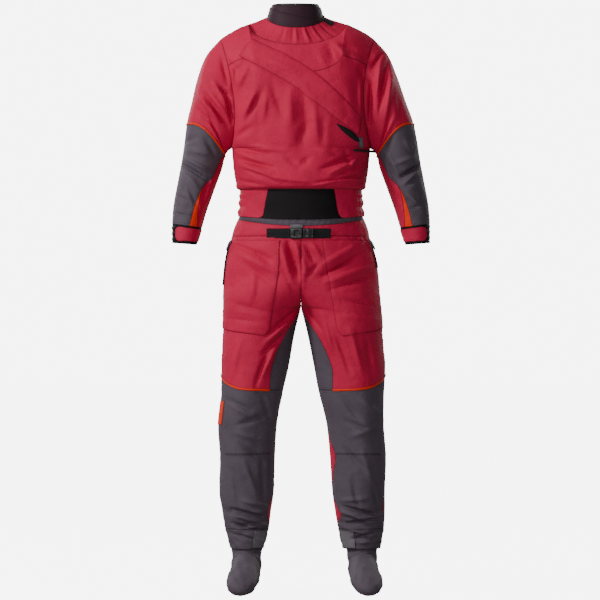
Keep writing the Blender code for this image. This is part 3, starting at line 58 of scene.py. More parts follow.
LEG_COLUMNS = 8
NECK_HALF_WIDTH = 131.0
SHOULDER_HALF_WIDTH = 208.0
NECK_SIDE_Z = 5.0
SHOULDER_DROP = 41.0
SHOULDER_CROWN = 4.0
NECK_DIP_FRONT = 59.0
NECK_RISE_BACK = 8.0
NECK_FRONT_Y = 90.0
NECK_BACK_Y = 66.0
ARMPIT_Z = -331.0
ARMPIT_HALF_WIDTH = 187.0
LEAN_HEIGHT = 230.0
YOKE_ANGLE = 60.0
YOKE_DIP = 16.0
LEAN = -10.0
ROUND = 0.9
ELBOW, WRIST, CUFF_END = 4.0, 8.0, 9.0
CROTCH, KNEE, ANKLE, LEG_END = 6.0, 8.93, 14.0, 15.0
FLOOR_Z = -1.532  # metres
# The camera in metres: its distance, how much the picture spans, and the place in its middle.
CAMERA_AWAY = 12.0
PHOTO_SPAN = 1.62
PHOTO_X = -0.0027
PHOTO_Z = -0.7398

SLEEVE_HEAD = ("station", "outer_x", "outer_z", "inner_x", "inner_z", "mid_y", "half_depth", "inset",
               "lift")
SLEEVE_ROWS = (
    (0, 208.0, -36.0, 187.0, -331.0, 0.0, 72.0, 22.0, 0.0),
    (1, 246.0, -81.0, 196.0, -337.0, 1.0, 80.0, 7.0, 4.0),
    (2, 271.0, -143.0, 200.0, -342.0, 2.0, 80.0, 0.0, 14.0),
    (3, 290.0, -208.0, 203.0, -347.0, 4.0, 76.0, 0.0, 24.0),
    (4, 307.0, -266.0, 206.0, -353.0, 6.0, 72.0, 0.0, 28.0),
    (5, 321.0, -356.0, 213.0, -385.0, 9.0, 64.0, 0.0, 8.0),
    (6, 331.0, -410.0, 231.0, -435.0, 8.0, 60.0, 0.0, 2.0),
    (7, 344.0, -481.0, 254.0, -500.0, 0.0, 52.0, 0.0, 0.0),
    (8, 348.0, -535.0, 267.0, -545.0, -8.0, 43.0, 0.0, 0.0),
    (9, 348.0, -586.0, 281.0, -591.0, -13.0, 35.0, 0.0, 0.0),
)

TRUNK_HEAD = ("row", "z", "half_width", "front", "back")
TRUNK_ROWS = (
    (-1.0, -443.0, 168.2, 111.4, 103.4),
    (-0.93, -438.0, 174.0, 124.0, 110.0),
    (-0.8, -424.0, 176.0, 131.0, 114.0),
    (-0.5, -395.0, 181.0, 130.0, 116.0),
    (0.0, -331.0, 187.0, 121.0, 112.0),
)
CHEST_HEAD = ("height", "front", "back")
CHEST_ROWS = (
    (0.0, 121.0, 112.0),
    (0.3, 124.0, 119.0),
    (0.6, 120.0, 117.0),
    (0.75, 113.0, 110.0),
    (1.0, 90.0, 66.0),
)

LEG_HEAD = ("station", "outer_z", "inner_z", "turn", "outer_left", "inner_left", "outer_right",
            "inner_right", "front", "back", "mid_y")
LEG_ROWS = (
    (0, -568.0, -568.0, 90.0, 187.0, 0.0, 185.0, 0.0, 105.0, 100.0, 0.0),
    (1, -605.0, -605.0, 90.0, 197.0, 0.0, 194.0, 0.0, 112.0, 112.0, 0.0),
    (2, -645.0, -645.0, 90.0, 203.0, 0.0, 203.0, 0.0, 115.0, 124.0, 0.0),
    (3, -688.0, -676.0, 90.0, 206.0, 0.0, 208.0, 0.0, 114.0, 130.0, 0.0),
    (4, -728.0, -719.0, 120.0, 208.0, 0.0, 211.0, 0.0, 111.0, 129.0, 2.0),
    (5, -768.0, -752.0, 150.0, 208.0, 0.0, 215.0, 0.0, 106.0, 124.0, 4.0),
    (6, -805.0, -764.0, 180.0, 210.0, 1.0, 219.0, 1.0, 103.0, 118.0, 5.0),
    (7, -862.0, -830.0, 180.0, 213.0, 17.0, 223.0, 17.0, 99.0, 110.0, 3.0),
    (8, -920.0, -915.0, 180.0, 215.0, 32.0, 228.0, 34.0, 91.0, 98.0, -2.0),
    (9, -1000.0, -985.0, 180.0, 216.0, 48.0, 224.0, 47.0, 85.0, 88.0, -6.0),
    (10, -1080.0, -1070.0, 180.0, 224.0, 64.0, 224.0, 68.0, 80.0, 80.0, -2.0),
    (11, -1166.0, -1162.0, 180.0, 219.0, 70.0, 230.0, 78.0, 76.0, 82.0, 6.0),
    (12, -1253.0, -1253.0, 180.0, 221.0, 73.0, 227.0, 84.0, 72.0, 78.0, 10.0),
    (13, -1310.0, -1310.0, 180.0, 213.0, 81.0, 227.0, 92.0, 69.0, 72.0, 10.0),
    (14, -1356.0, -1356.0, 180.0, 205.0, 87.0, 224.0, 100.0, 62.0, 64.0, 8.0),
    (15, -1410.0, -1410.0, 180.0, 191.0, 101.0, 215.0, 112.0, 56.0, 58.0, 6.0),
)

SOCK_HEAD = ("station", "y", "z", "tilt", "half_width", "half_height", "toe_out")
SOCK_ROWS = (
    (0, 6.0, -1390.0, 0.0, 42.0, 52.0, 0.0),
    (1, 8.0, -1420.0, 8.0, 40.0, 53.0, 0.0),
    (2, 2.0, -1452.0, 28.0, 40.0, 62.0, 1.0),
    (3, -24.0, -1468.0, 50.0, 40.0, 60.0, 3.0),
    (4, -76.0, -1476.0, 66.0, 40.0, 42.0, 6.0),
    (5, -132.0, -1488.0, 68.0, 43.0, 33.0, 10.0),
    (6, -180.0, -1503.0, 68.0, 37.0, 25.0, 14.0),
    (7, -206.0, -1512.0, 66.0, 22.0, 15.0, 16.0),
    (8, -216.0, -1516.0, 66.0, 0.0, 0.0, 17.0),
)
SOCK_GAP = 0.75
OFF_SEAM = 1e-6
SOCK_SEAM_STATION = 14.85
ANKLE_X = {-1: 146.0, 1: 165.0}

FOLD_END = 0.35
FOLD_HEAD = ("x0", "z0", "x1", "z1", "width", "push")
CHEST_FOLDS = (
    (-178.0, -268.0, -120.0, -100.0, 17.0, -6.0),
    (-150.0, -262.0, -92.0, -128.0, 16.0, 6.0),
    (178.0, -262.0, 168.0, -120.0, 16.0, -7.0),
    (142.0, -240.0, 118.0, -108.0, 15.0, 5.0),
    (-92.0, -190.0, -118.0, -330.0, 18.0, -5.0),
    (-28.0, -200.0, -34.0, -345.0, 22.0, 6.0),
    (10.0, -205.0, 2.0, -350.0, 17.0, -5.0),
    (66.0, -240.0, 60.0, -345.0, 20.0, 5.0),
    (-178.0, -345.0, -60.0, -392.0, 14.0, -5.0),
    (-170.0, -372.0, -70.0, -418.0, 15.0, 6.0),
    (176.0, -350.0, 84.0, -384.0, 15.0, -5.0),
    (172.0, -384.0, 70.0, -414.0, 14.0, 5.0),
    (-20.0, -386.0, 60.0, -402.0, 16.0, 4.0),
)
BACK_FOLDS = (
    (-176.0, -262.0, -108.0, -112.0, 18.0, -6.0),
    (176.0, -258.0, 104.0, -116.0, 17.0, -6.0),
    (-60.0, -180.0, -74.0, -340.0, 24.0, -5.0),
    (48.0, -170.0, 62.0, -352.0, 22.0, -5.0),
    (-2.0, -200.0, 4.0, -366.0, 22.0, 5.0),
    (-172.0, -362.0, -50.0, -404.0, 16.0, 6.0),
    (170.0, -356.0, 52.0, -398.0, 16.0, 6.0),
)
# Sixty degrees of turn about a tube weigh as much as one station along it.
FOLD_STRETCH = 1 / 60
TUBE_FOLD_HEAD = ("angle0", "station0", "angle1", "station1", "width", "push")
SLEEVE_FOLDS = (
    (150.0, 3.4, 60.0, 2.0, 0.30, -6.0),
    (165.0, 4.1, 80.0, 3.1, 0.26, 5.0),
    (40.0, 1.2, 70.0, 2.6, 0.32, 5.0),
    (20.0, 5.5, 120.0, 5.9, 0.20, -6.0),
    (30.0, 5.9, 100.0, 6.4, 0.24, 5.0),
    (-40.0, 5.2, -140.0, 5.8, 0.24, -5.0),
    (-60.0, 2.0, -150.0, 3.4, 0.3, -5.0),
    (110.0, 6.6, 60.0, 7.5, 0.26, -4.0),
    (-70.0, 6.5, -120.0, 7.4, 0.26, 4.0),
)
LEG_FOLDS = (
    (150.0, 7.2, 96.0, 9.6, 0.34, -5.0),
    (62.0, 8.6, 72.0, 11.4, 0.34, 6.0),
    (122.0, 9.2, 100.0, 11.6, 0.3, -4.0),
    (30.0, 9.8, 66.0, 10.6, 0.24, -5.0),
    (-90.0, 10.0, -150.0, 9.2, 0.26, -6.0),
    (-60.0, 7.6, -120.0, 6.9, 0.3, -5.0),
    (20.0, 12.9, 130.0, 13.35, 0.17, -7.0),
    (60.0, 13.3, 150.0, 12.9, 0.16, 6.0),
    (150.0, 13.6, 60.0, 13.85, 0.15, -6.0),
    (-20.0, 13.0, -120.0, 13.4, 0.2, -6.0),
    (70.0, 14.4, 120.0, 14.2, 0.16, 5.0),
    (-60.0, 14.3, -130.0, 14.5, 0.2, 5.0),
)
HIP_FOLDS = (
    (-34.0, -585.0, -3.0, -715.0, 9.0, -7.0),
    (-14.0, -590.0, 6.0, -700.0, 9.0, 6.0),
    (26.0, -600.0, 44.0, -650.0, 9.0, -4.0),
    (-120.0, -600.0, -74.0, -652.0, 12.0, -4.0),
    (150.0, -632.0, 70.0, -668.0, 12.0, -4.0),
    (-150.0, -770.0, -96.0, -778.0, 12.0, -3.0),
)


def named(head, rows):
    """Turn a table's rows into one array for each named column."""
    return {name: np.array([row[k] for row in rows], float) for k, name in enumerate(head)}


def ramp(value):
    """Keep a value between nought and one."""
    return np.clip(value, 0.0, 1.0)


def unit(lines):
    """Directions of length one; none at all stays none."""
    return lines / np.maximum(np.linalg.norm(lines, axis=-1, keepdims=True), 1e-9)


def smooth(at, knots, values):
    """Read a table column between its rows along a cubic with even slopes."""
    at = np.clip(np.asarray(at, float), knots[0], knots[-1])
    step = np.diff(knots)
    rise = np.diff(values) / step
    slope = np.concatenate(([rise[0]], 0.5 * (rise[1:] + rise[:-1]), [rise[-1]]))
    cell = np.clip(np.searchsorted(knots, at, side="right") - 1, 0, len(step) - 1)
    f = (at - knots[cell]) / step[cell]
    start = (1 + 2 * f) * (1 - f) ** 2 * values[cell] + f * f * (3 - 2 * f) * values[cell + 1]
    bend = step[cell] * (f * (1 - f) ** 2 * slope[cell] - f * f * (1 - f) * slope[cell + 1])
    return start + bend


def read(table, name, at):
    """Read one column of a table at places along its first column."""
    return smooth(at, table[next(iter(table))], table[name])


def fold_push(across, along, head, rows, stretch=1.0):
    """Height of soft folds: each is a rounded ridge or trough about a straight line, lower at its ends."""
    total = np.zeros(np.broadcast(across, along).shape)
    for row in rows:
        fold = dict(zip(head, row))
        a0, b0, a1, b1 = [fold[name] for name in head[:4]]
        da, db = (a1 - a0) * stretch, b1 - b0
        length = da * da + db * db
        t = ramp(((across - a0) * stretch * da + (along - b0) * db) / length)
        far = np.hypot((across - a0) * stretch - t * da, along - b0 - t * db)
        rise = FOLD_END + (1 - FOLD_END) * np.sin(math.pi * t)
        total = total + fold["push"] * np.exp(-(far / fold["width"]) ** 2) * rise
    return total


def between(value, zone):
    """1 inside a zone and 0 outside it: where it starts, how long it takes, where it ends, how long."""
    low, low_ease, high, high_ease = zone
    return ramp((value - low) / low_ease) * ramp((high - value) / high_ease)


def lean(z):
    """Sideways lean of the shoulders and neck, none below the armpits."""
    t = ramp((np.asarray(z, float) - ARMPIT_Z) / LEAN_HEIGHT)
    return LEAN * t * t * (3 - 2 * t)


def stack(x, y, z):
    """Join three coordinate arrays into points."""
    return np.stack(np.broadcast_arrays(x, y, z), axis=-1)


def normals(surface, u, v, core):
    """Unit normals of a surface by small steps in its two parameters, facing away from its core."""
    du = surface(u + STEP, v) - surface(u - STEP, v)
    dv = surface(u, v + STEP) - surface(u, v - STEP)
    n = unit(np.cross(du, dv))
    facing = np.sign(np.sum(n * (surface(u, v) - core), axis=-1, keepdims=True).sum())
    return n * facing


# Creases marked on the photo: both ends in pixels, then the width and height in millimetres.
PHOTO_MM = 2.7
PHOTO_CENTRE = (301.0, 26.0)
MARK_HEAD = ("x0_px", "y0_px", "x1_px", "y1_px", "width", "push")
FRONT_MARKS = (
    (217, 88, 232, 97, 4.5, -7.0), (214, 84, 222, 93, 5.0, 5.0), (219, 93, 229, 108, 6.0, 5.0),
    (223, 62, 229, 84, 6.5, -6.0), (233, 66, 231, 92, 6.0, 4.5), (228, 98, 233, 124, 6.0, -7.0),
    (206, 96, 228, 126, 6.5, -7.0), (200, 98, 219, 122, 6.0, 5.5), (212, 98, 231, 118, 5.5, 4.5),
    (196, 108, 214, 128, 6.0, -4.0), (236, 72, 246, 66, 5.0, -5.0), (238, 84, 232, 76, 5.0, 4.0),
    (222, 58, 236, 70, 5.0, -4.5), (243, 62, 254, 70, 4.5, -4.0), (247, 70, 238, 88, 7.0, 4.0),
    (263, 92, 247, 122, 7.6, -4.8), (254, 96, 243, 118, 7.5, 5.0), (272, 86, 284, 120, 8.0, -4.4),
    (266, 98, 263, 122, 8.5, 5.5), (290, 92, 291, 120, 9.0, 5.0), (302, 92, 308, 134, 8.4, -4.6),
    (306, 126, 300, 146, 7.5, -4.5), (314, 108, 316, 140, 8.0, 4.5), (324, 120, 322, 148, 7.0, -3.5),
    (233, 140, 252, 128, 6.5, -4.0), (236, 148, 268, 156, 5.5, -5.5), (236, 153, 262, 163, 6.0, 4.5),
    (238, 160, 272, 169, 5.0, -6.0), (240, 166, 268, 176, 5.5, 4.5), (246, 170, 276, 183, 5.0, -5.0),
    (252, 148, 284, 152, 6.0, 3.0), (286, 158, 298, 168, 6.0, -4.0), (300, 170, 309, 158, 5.0, -4.5),
    (318, 150, 332, 156, 6.0, 3.5), (362, 152, 322, 170, 5.5, -5.5), (364, 158, 330, 174, 5.5, 5.0),
    (366, 163, 334, 178, 4.8, -5.5), (344, 150, 350, 168, 5.5, -4.0), (356, 160, 348, 172, 5.0, 4.0),
    (314, 187, 340, 181, 4.5, 4.5), (340, 181, 366, 180, 4.5, 4.5), (318, 184, 364, 176, 4.5, -4.5),
    (236, 180, 262, 186, 5.0, -3.5), (270, 178, 312, 184, 6.5, 3.0),
    (358, 72, 371, 84, 5.5, -8.0), (371, 84, 369, 124, 6.5, -9.0), (360, 84, 361, 116, 7.0, 6.0),
    (380, 62, 376, 96, 6.0, 6.0), (383, 52, 371, 70, 5.0, -6.0), (388, 60, 379, 112, 6.0, -7.0),
    (392, 74, 386, 116, 7.0, 4.5), (374, 66, 362, 60, 4.5, -4.5), (366, 66, 352, 58, 5.0, 4.0),
    (396, 92, 402, 124, 8.0, -3.0), (327, 46, 333, 62, 5.0, -5.0), (334, 44, 346, 58, 5.5, 4.0),
    (340, 46, 354, 52, 5.0, -4.0), (318, 52, 326, 68, 6.0, 3.5), (268, 62, 300, 76, 7.0, 3.0),
    (182, 164, 209, 181, 3.7, -11.0), (184, 158, 212, 173, 5.2, 7.5), (184, 143, 196, 138, 5.5, -4.5),
    (187, 150, 214, 156, 6.5, 4.0), (184, 172, 202, 192, 6.0, 4.5), (188, 186, 198, 206, 6.0, -4.5),
    (178, 196, 190, 203, 5.0, -4.0), (176, 210, 190, 214, 5.0, 3.5), (206, 140, 216, 158, 6.0, -4.5),
    (209, 180, 203, 204, 5.0, -4.0), (421, 163, 401, 177, 3.7, -11.0), (419, 170, 403, 185, 5.0, 7.5),
    (417, 157, 396, 164, 6.0, 5.0), (392, 138, 384, 156, 6.0, -5.0), (384, 150, 397, 172, 6.5, 4.0),
    (406, 184, 421, 178, 5.0, -4.0), (408, 196, 420, 206, 6.0, 4.0), (412, 208, 424, 204, 5.0, -3.5),
    (388, 160, 396, 186, 5.5, -5.0), (404, 140, 412, 150, 6.0, 3.5),
    (288, 243, 301, 284, 5.5, -10.0), (281, 246, 291, 282, 6.0, 6.0), (296, 244, 306, 272, 6.0, 7.0),
    (306, 246, 313, 262, 4.5, -6.0), (312, 244, 320, 256, 4.5, 4.5), (304, 270, 300, 296, 5.5, 5.0),
    (308, 276, 318, 264, 5.0, -4.5), (281, 262, 294, 292, 5.0, -4.0), (238, 246, 272, 260, 7.0, -4.5),
    (240, 254, 276, 272, 8.0, 4.5), (246, 264, 272, 284, 8.0, -3.5), (231, 302, 266, 311, 7.0, -2.0),
    (230, 310, 266, 316, 4.5, 1.0), (228, 318, 262, 322, 6.0, -1.8), (254, 276, 252, 300, 9.0, 4.5),
    (322, 276, 360, 254, 6.0, -6.5), (325, 282, 368, 268, 6.5, 5.5), (330, 290, 372, 276, 6.5, -4.5),
    (324, 264, 352, 248, 6.0, 4.5), (346, 228, 356, 238, 4.0, -5.5), (352, 226, 362, 240, 4.0, 5.0),
    (358, 228, 366, 244, 3.6, -4.5), (342, 300, 374, 306, 6.0, -3.0), (344, 316, 376, 320, 5.0, 1.2),
    (298, 308, 270, 332, 5.0, -6.5), (296, 318, 266, 342, 6.0, 5.5), (285, 334, 262, 354, 6.0, -5.0),
    (277, 346, 263, 374, 6.5, 5.0), (268, 352, 256, 384, 6.5, -5.5), (240, 340, 232, 376, 9.0, 3.5),
    (304, 306, 322, 330, 5.5, -4.5), (322, 316, 332, 352, 7.0, 4.5), (336, 332, 350, 372, 7.5, -4.5),
    (350, 330, 362, 372, 8.0, 4.0), (366, 340, 372, 376, 8.0, -3.5),
    (226, 398, 250, 410, 7.0, -5.0), (232, 404, 262, 422, 7.0, 4.5), (238, 424, 268, 414, 6.5, -5.0),
    (236, 432, 264, 440, 6.5, 4.0), (262, 394, 272, 424, 7.0, -4.0), (240, 444, 266, 462, 6.5, -5.0),
    (244, 462, 258, 496, 8.0, 4.5), (262, 458, 264, 500, 7.5, -4.5), (234, 470, 240, 506, 7.5, -3.5),
    (342, 396, 360, 420, 7.0, -4.5), (360, 400, 378, 412, 7.0, 4.5), (346, 420, 374, 432, 6.5, -5.0),
    (350, 436, 380, 426, 6.5, 4.0), (344, 448, 366, 470, 6.5, -4.5), (362, 452, 376, 492, 8.0, 4.5),
    (352, 478, 358, 506, 7.5, -4.0), (372, 480, 378, 508, 7.0, -3.5),
    (232, 508, 262, 516, 4.4, -9.5), (234, 514, 264, 523, 4.6, 7.5), (232, 522, 258, 530, 4.2, -8.5),
    (240, 528, 266, 524, 4.6, 5.0), (230, 532, 252, 538, 4.6, -5.0), (244, 500, 268, 506, 5.5, 4.5),
    (254, 536, 268, 544, 4.6, 4.5), (344, 506, 374, 514, 4.4, -9.0), (342, 512, 372, 521, 4.6, 7.5),
    (348, 522, 378, 518, 4.2, -9.5), (346, 528, 372, 534, 4.4, 6.5), (352, 538, 380, 530, 4.6, -5.5),
    (340, 500, 366, 498, 5.5, 4.0), (356, 542, 380, 540, 4.6, 4.0),
)
BACK_MARKS = (
    (218, 86, 234, 98, 5.0, -6.5), (214, 96, 230, 112, 6.0, 5.0), (206, 96, 228, 124, 6.5, -6.0),
    (224, 64, 232, 88, 6.5, 4.5), (384, 88, 370, 100, 5.0, -6.5), (388, 98, 374, 112, 6.0, 5.0),
    (394, 98, 374, 124, 6.5, -6.0), (378, 64, 370, 88, 6.5, 4.5), (268, 70, 262, 128, 9.0, -5.0),
    (330, 72, 338, 130, 9.0, -5.0), (300, 84, 302, 146, 10.0, 4.5), (284, 110, 278, 156, 8.0, -4.0),
    (318, 108, 322, 158, 8.0, 4.0), (238, 150, 276, 160, 5.5, -5.5), (240, 160, 280, 170, 5.5, 5.0),
    (364, 150, 326, 162, 5.5, -5.5), (362, 160, 322, 172, 5.5, 5.0), (250, 172, 290, 180, 5.0, -4.5),
    (352, 172, 312, 180, 5.0, -4.5), (184, 150, 210, 158, 6.0, 5.0), (186, 160, 208, 168, 5.0, -6.0),
    (416, 150, 392, 158, 6.0, 5.0), (416, 162, 394, 168, 5.0, -6.0), (188, 190, 200, 208, 6.0, -4.0),
    (414, 190, 402, 208, 6.0, -4.0), (262, 250, 250, 292, 8.0, -5.0), (340, 250, 352, 292, 8.0, -5.0),
    (292, 252, 276, 300, 7.0, 5.0), (310, 252, 326, 300, 7.0, 5.0), (300, 262, 300, 304, 6.0, -7.0),
    (240, 310, 276, 322, 6.0, -5.5), (362, 310, 326, 322, 6.0, -5.5), (238, 318, 272, 332, 6.5, 4.5),
    (364, 318, 330, 332, 6.5, 4.5), (232, 384, 268, 392, 6.0, -6.5), (230, 392, 266, 402, 6.0, 5.0),
    (234, 404, 262, 410, 6.0, -5.5), (340, 388, 378, 384, 6.0, -6.5), (342, 398, 380, 394, 6.0, 5.0),
    (344, 410, 376, 406, 6.0, -5.5), (240, 440, 250, 480, 8.0, -4.0), (262, 446, 256, 490, 8.0, 4.0),
    (352, 440, 360, 480, 8.0, -4.0), (374, 446, 368, 490, 8.0, 4.0), (234, 510, 266, 518, 5.0, -6.5),
    (236, 520, 264, 526, 5.0, 5.5), (240, 534, 266, 532, 4.8, -5.0), (344, 510, 376, 518, 5.0, -6.5),
    (346, 520, 374, 526, 5.0, 5.5), (350, 534, 376, 532, 4.8, -5.0),
)


def from_photo(marks):
    """Marked creases with their ends turned into millimetres of the front view."""
    rows = []
    for mark in marks:
        row = dict(zip(MARK_HEAD, mark))
        ends = []
        for end in ("0_px", "1_px"):
            ends.append((row["x" + end] - PHOTO_CENTRE[0]) * PHOTO_MM)
            ends.append((PHOTO_CENTRE[1] - row["y" + end]) * PHOTO_MM)
        rows.append((*ends, row["width"], row["push"]))
    return tuple(rows)


CREASE_HEIGHT = 1.7
CREASE_REACH = 3
ZIP_END = (160.0, -330.0)
ZIP_CALM = (36.0, 30.0)
FRONT_CREASES = from_photo(FRONT_MARKS)
BACK_CREASES = from_photo(BACK_MARKS)


def near_creases(creases, x, z):
    """Creases that reach the box of the points; the others are too far to count."""
    low_x, high_x, low_z, high_z = np.min(x), np.max(x), np.min(z), np.max(z)
    near = []
    for row in creases:
        x0, z0, x1, z1, width, _ = row
        reach = CREASE_REACH * width
        if (max(x0, x1) + reach > low_x and min(x0, x1) - reach < high_x
                and max(z0, z1) + reach > low_z and min(z0, z1) - reach < high_z):
            near.append(row)
    return near


def crease_push(x, z, front):
    """Height of the marked creases at points of the front view, calm about the end of the zip."""
    near = near_creases(FRONT_CREASES if front else BACK_CREASES, x, z)
    total = CREASE_HEIGHT * fold_push(x, z, FOLD_HEAD, near)
    if front:
        aside = ((x - ZIP_END[0]) / ZIP_CALM[0]) ** 4 + ((z - ZIP_END[1]) / ZIP_CALM[1]) ** 4
        total = total * (1 - np.exp(-aside))
    return total


# Zones where folds and creases count, for `between`.
SLEEVE_FOLD_ZONE = (0.0, 1.5, 8.6, 0.8)
SLEEVE_CREASE_ZONE = (0.0, 0.35, WRIST, 0.5)
TRUNK_FOLD_ZONE = (-0.93, 0.2, 0.62, 0.2)
TRUNK_CREASE_ZONE = (-0.97, 0.06, 0.97, 0.1)
TRUNK_SIDE_FOLD, TRUNK_SIDE_CREASE = 0.12, 0.06
LEG_FOLD_ZONE = (CROTCH, 0.8, 14.9, 0.4)
LEG_CREASE_ZONE = (0.0, 0.25, 14.95, 0.2)
HIP_FOLD_ZONE = (0.0, 0.5, CROTCH, 1.5)
HIP_SIDE_FOLD, HIP_SIDE_CREASE = 0.08, 0.03
FACING = 1.7

SLEEVE = named(SLEEVE_HEAD, SLEEVE_ROWS)
TRUNK = named(TRUNK_HEAD, TRUNK_ROWS)
CHEST = named(CHEST_HEAD, CHEST_ROWS)
LEG = named(LEG_HEAD, LEG_ROWS)
SOCK = named(SOCK_HEAD, SOCK_ROWS)


def sleeve_surface(side):
    """Sleeve about the arm: angle 0 is the outer edge, a right angle the front, half a turn the inside."""
    def point(angle, station):
        c, s = np.cos(angle), np.sin(angle)
        col = {name: read(SLEEVE, name, station) for name in SLEEVE_HEAD[1:]}
        x = 0.5 * (col["outer_x"] + col["inner_x"]) + 0.5 * (col["outer_x"] - col["inner_x"]) * c
        x = x - col["inset"] * s * s
        z = 0.5 * (col["outer_z"] + col["inner_z"]) + 0.5 * (col["outer_z"] - col["inner_z"]) * c
        z = z + col["lift"] * s * s
        y = col["mid_y"] - col["half_depth"] * s
        turn = np.degrees(np.arctan2(np.sin(angle), np.cos(angle)))
        push = fold_push(turn, station, TUBE_FOLD_HEAD, SLEEVE_FOLDS, FOLD_STRETCH)
        push = push * between(station, SLEEVE_FOLD_ZONE)
        x, y = x + push * c, y - push * s
        across = side * x + lean(z)
        ahead = crease_push(across, z, True) * ramp(s * FACING)
        behind = crease_push(across, z, False) * ramp(-s * FACING)
        y = y - (ahead - behind) * between(station, SLEEVE_CREASE_ZONE)
        return stack(across, y, z)
    return point


def halfway(table, station, one, two):
    """Middle between two columns of a table."""
    return 0.5 * (read(table, one, station) + read(table, two, station))


def sleeve_core(angle, station):
    """Middle of the sleeve at each station, mirrored by the caller."""
    x = halfway(SLEEVE, station, "outer_x", "inner_x")
    z = halfway(SLEEVE, station, "outer_z", "inner_z")
    return stack(x + 0 * angle, 0 * angle, z + 0 * angle)


def neck_share(column):
    """Share of the shoulder half width along the trunk's top row, with the neck between -0.5 and 0.5."""
    size = np.abs(column)
    neck = NECK_HALF_WIDTH / SHOULDER_HALF_WIDTH
    inside = neck * np.sin(np.minimum(size, 0.5) * math.pi)
    outside = neck + (1 - neck) * (size - 0.5) * 2
    return np.sign(column) * np.where(size < 0.5, inside, outside)


def top_row(column, front):
    """Height and depth of the trunk's top row: shoulders outside, the neck band's seam inside."""
    size = np.abs(column)
    dip = np.cos(np.minimum(size, 0.5) * math.pi)
    slide = ramp((size - 0.5) * 2)
    z = NECK_SIDE_Z - SHOULDER_DROP * slide + SHOULDER_CROWN * np.sin(math.pi * slide)
    if front:
        return z - NECK_DIP_FRONT * dip, -NECK_FRONT_Y * dip
    return z + NECK_RISE_BACK * dip, NECK_BACK_Y * dip


def trunk_form(front, column, row, angle):
    """Smooth form of the blouse, below the armpit by its rows and above it by the turn of the armhole."""
    face = -1.0 if front else 1.0
    name = "front" if front else "back"
    beta = column * math.pi / 2
    s = np.sign(beta) * np.abs(np.sin(beta)) ** ROUND
    c = np.abs(np.cos(beta)) ** ROUND
    low = np.minimum(row, 0.0)
    half, deep, z_low = (read(TRUNK, key, low) for key in ("half_width", name, "z"))
    up = (1 + np.cos(angle)) / 2
    x_edge = 0.5 * (SHOULDER_HALF_WIDTH + ARMPIT_HALF_WIDTH)
    x_edge = x_edge + 0.5 * (SHOULDER_HALF_WIDTH - ARMPIT_HALF_WIDTH) * np.cos(angle)
    x_edge = x_edge - SLEEVE["inset"][0] * np.sin(angle) ** 2
    y_edge = SLEEVE["half_depth"][0] * np.sin(angle)
    share = up * up * (3 - 2 * up)
    x_high = x_edge * ((1 - share) * s + share * neck_share(column))
    y_high = y_edge + (read(CHEST, name, up) - y_edge) * c
    z_top, y_top = top_row(column, front)
    dip = YOKE_DIP * c * np.sin(math.pi * ramp(up)) ** 2 * (1 if front else 0)
    z_high = ARMPIT_Z + (z_top - ARMPIT_Z) * up - dip
    high = row > 0
    return (np.where(high, x_high, half * s), face * np.where(high, y_high, deep * c),
            np.where(high, z_high, z_low), y_top)


def trunk_surface(front):
    """Front or back of the blouse: column from side to side, row -1 at the hem, 0 armpit, 1 shoulder."""
    face = -1.0 if front else 1.0

    def point(column, row):
        column, row = np.broadcast_arrays(np.asarray(column, float), np.asarray(row, float))
        angle = math.pi * (1 - ramp(row))
        yoke = math.radians(YOKE_ANGLE)
        x, y, z, y_top = trunk_form(front, column, row, angle)
        y_yoke = trunk_form(front, column, np.full(row.shape, 0.5), np.full(row.shape, yoke))[1]
        over = np.sin(angle) / math.sin(yoke)
        y = np.where(angle < yoke, y_top + (y_yoke - y_top) * over, y)
        to_side = 1 - np.abs(column)
        calm = between(row, TRUNK_FOLD_ZONE) * ramp(to_side / TRUNK_SIDE_FOLD)
        y = y + face * fold_push(x, z, FOLD_HEAD, CHEST_FOLDS if front else BACK_FOLDS) * calm
        ease = between(row, TRUNK_CREASE_ZONE) * ramp(to_side / TRUNK_SIDE_CREASE)
        y = y + face * crease_push(x + lean(z), z, front) * ease
        return stack(x + lean(z), y, z)
    return point


def waist_surface(half, front, back):
    """Upright ring about the waist: angle 0 is the wearer's front, a right angle the +X side."""
    def point(angle, z):
        s, c = np.sin(angle), np.cos(angle)
        x = half * np.sign(s) * np.abs(s) ** ROUND
        y = -np.where(c > 0, front, back) * np.sign(c) * np.abs(c) ** ROUND
        return stack(x, y, z)
    return point


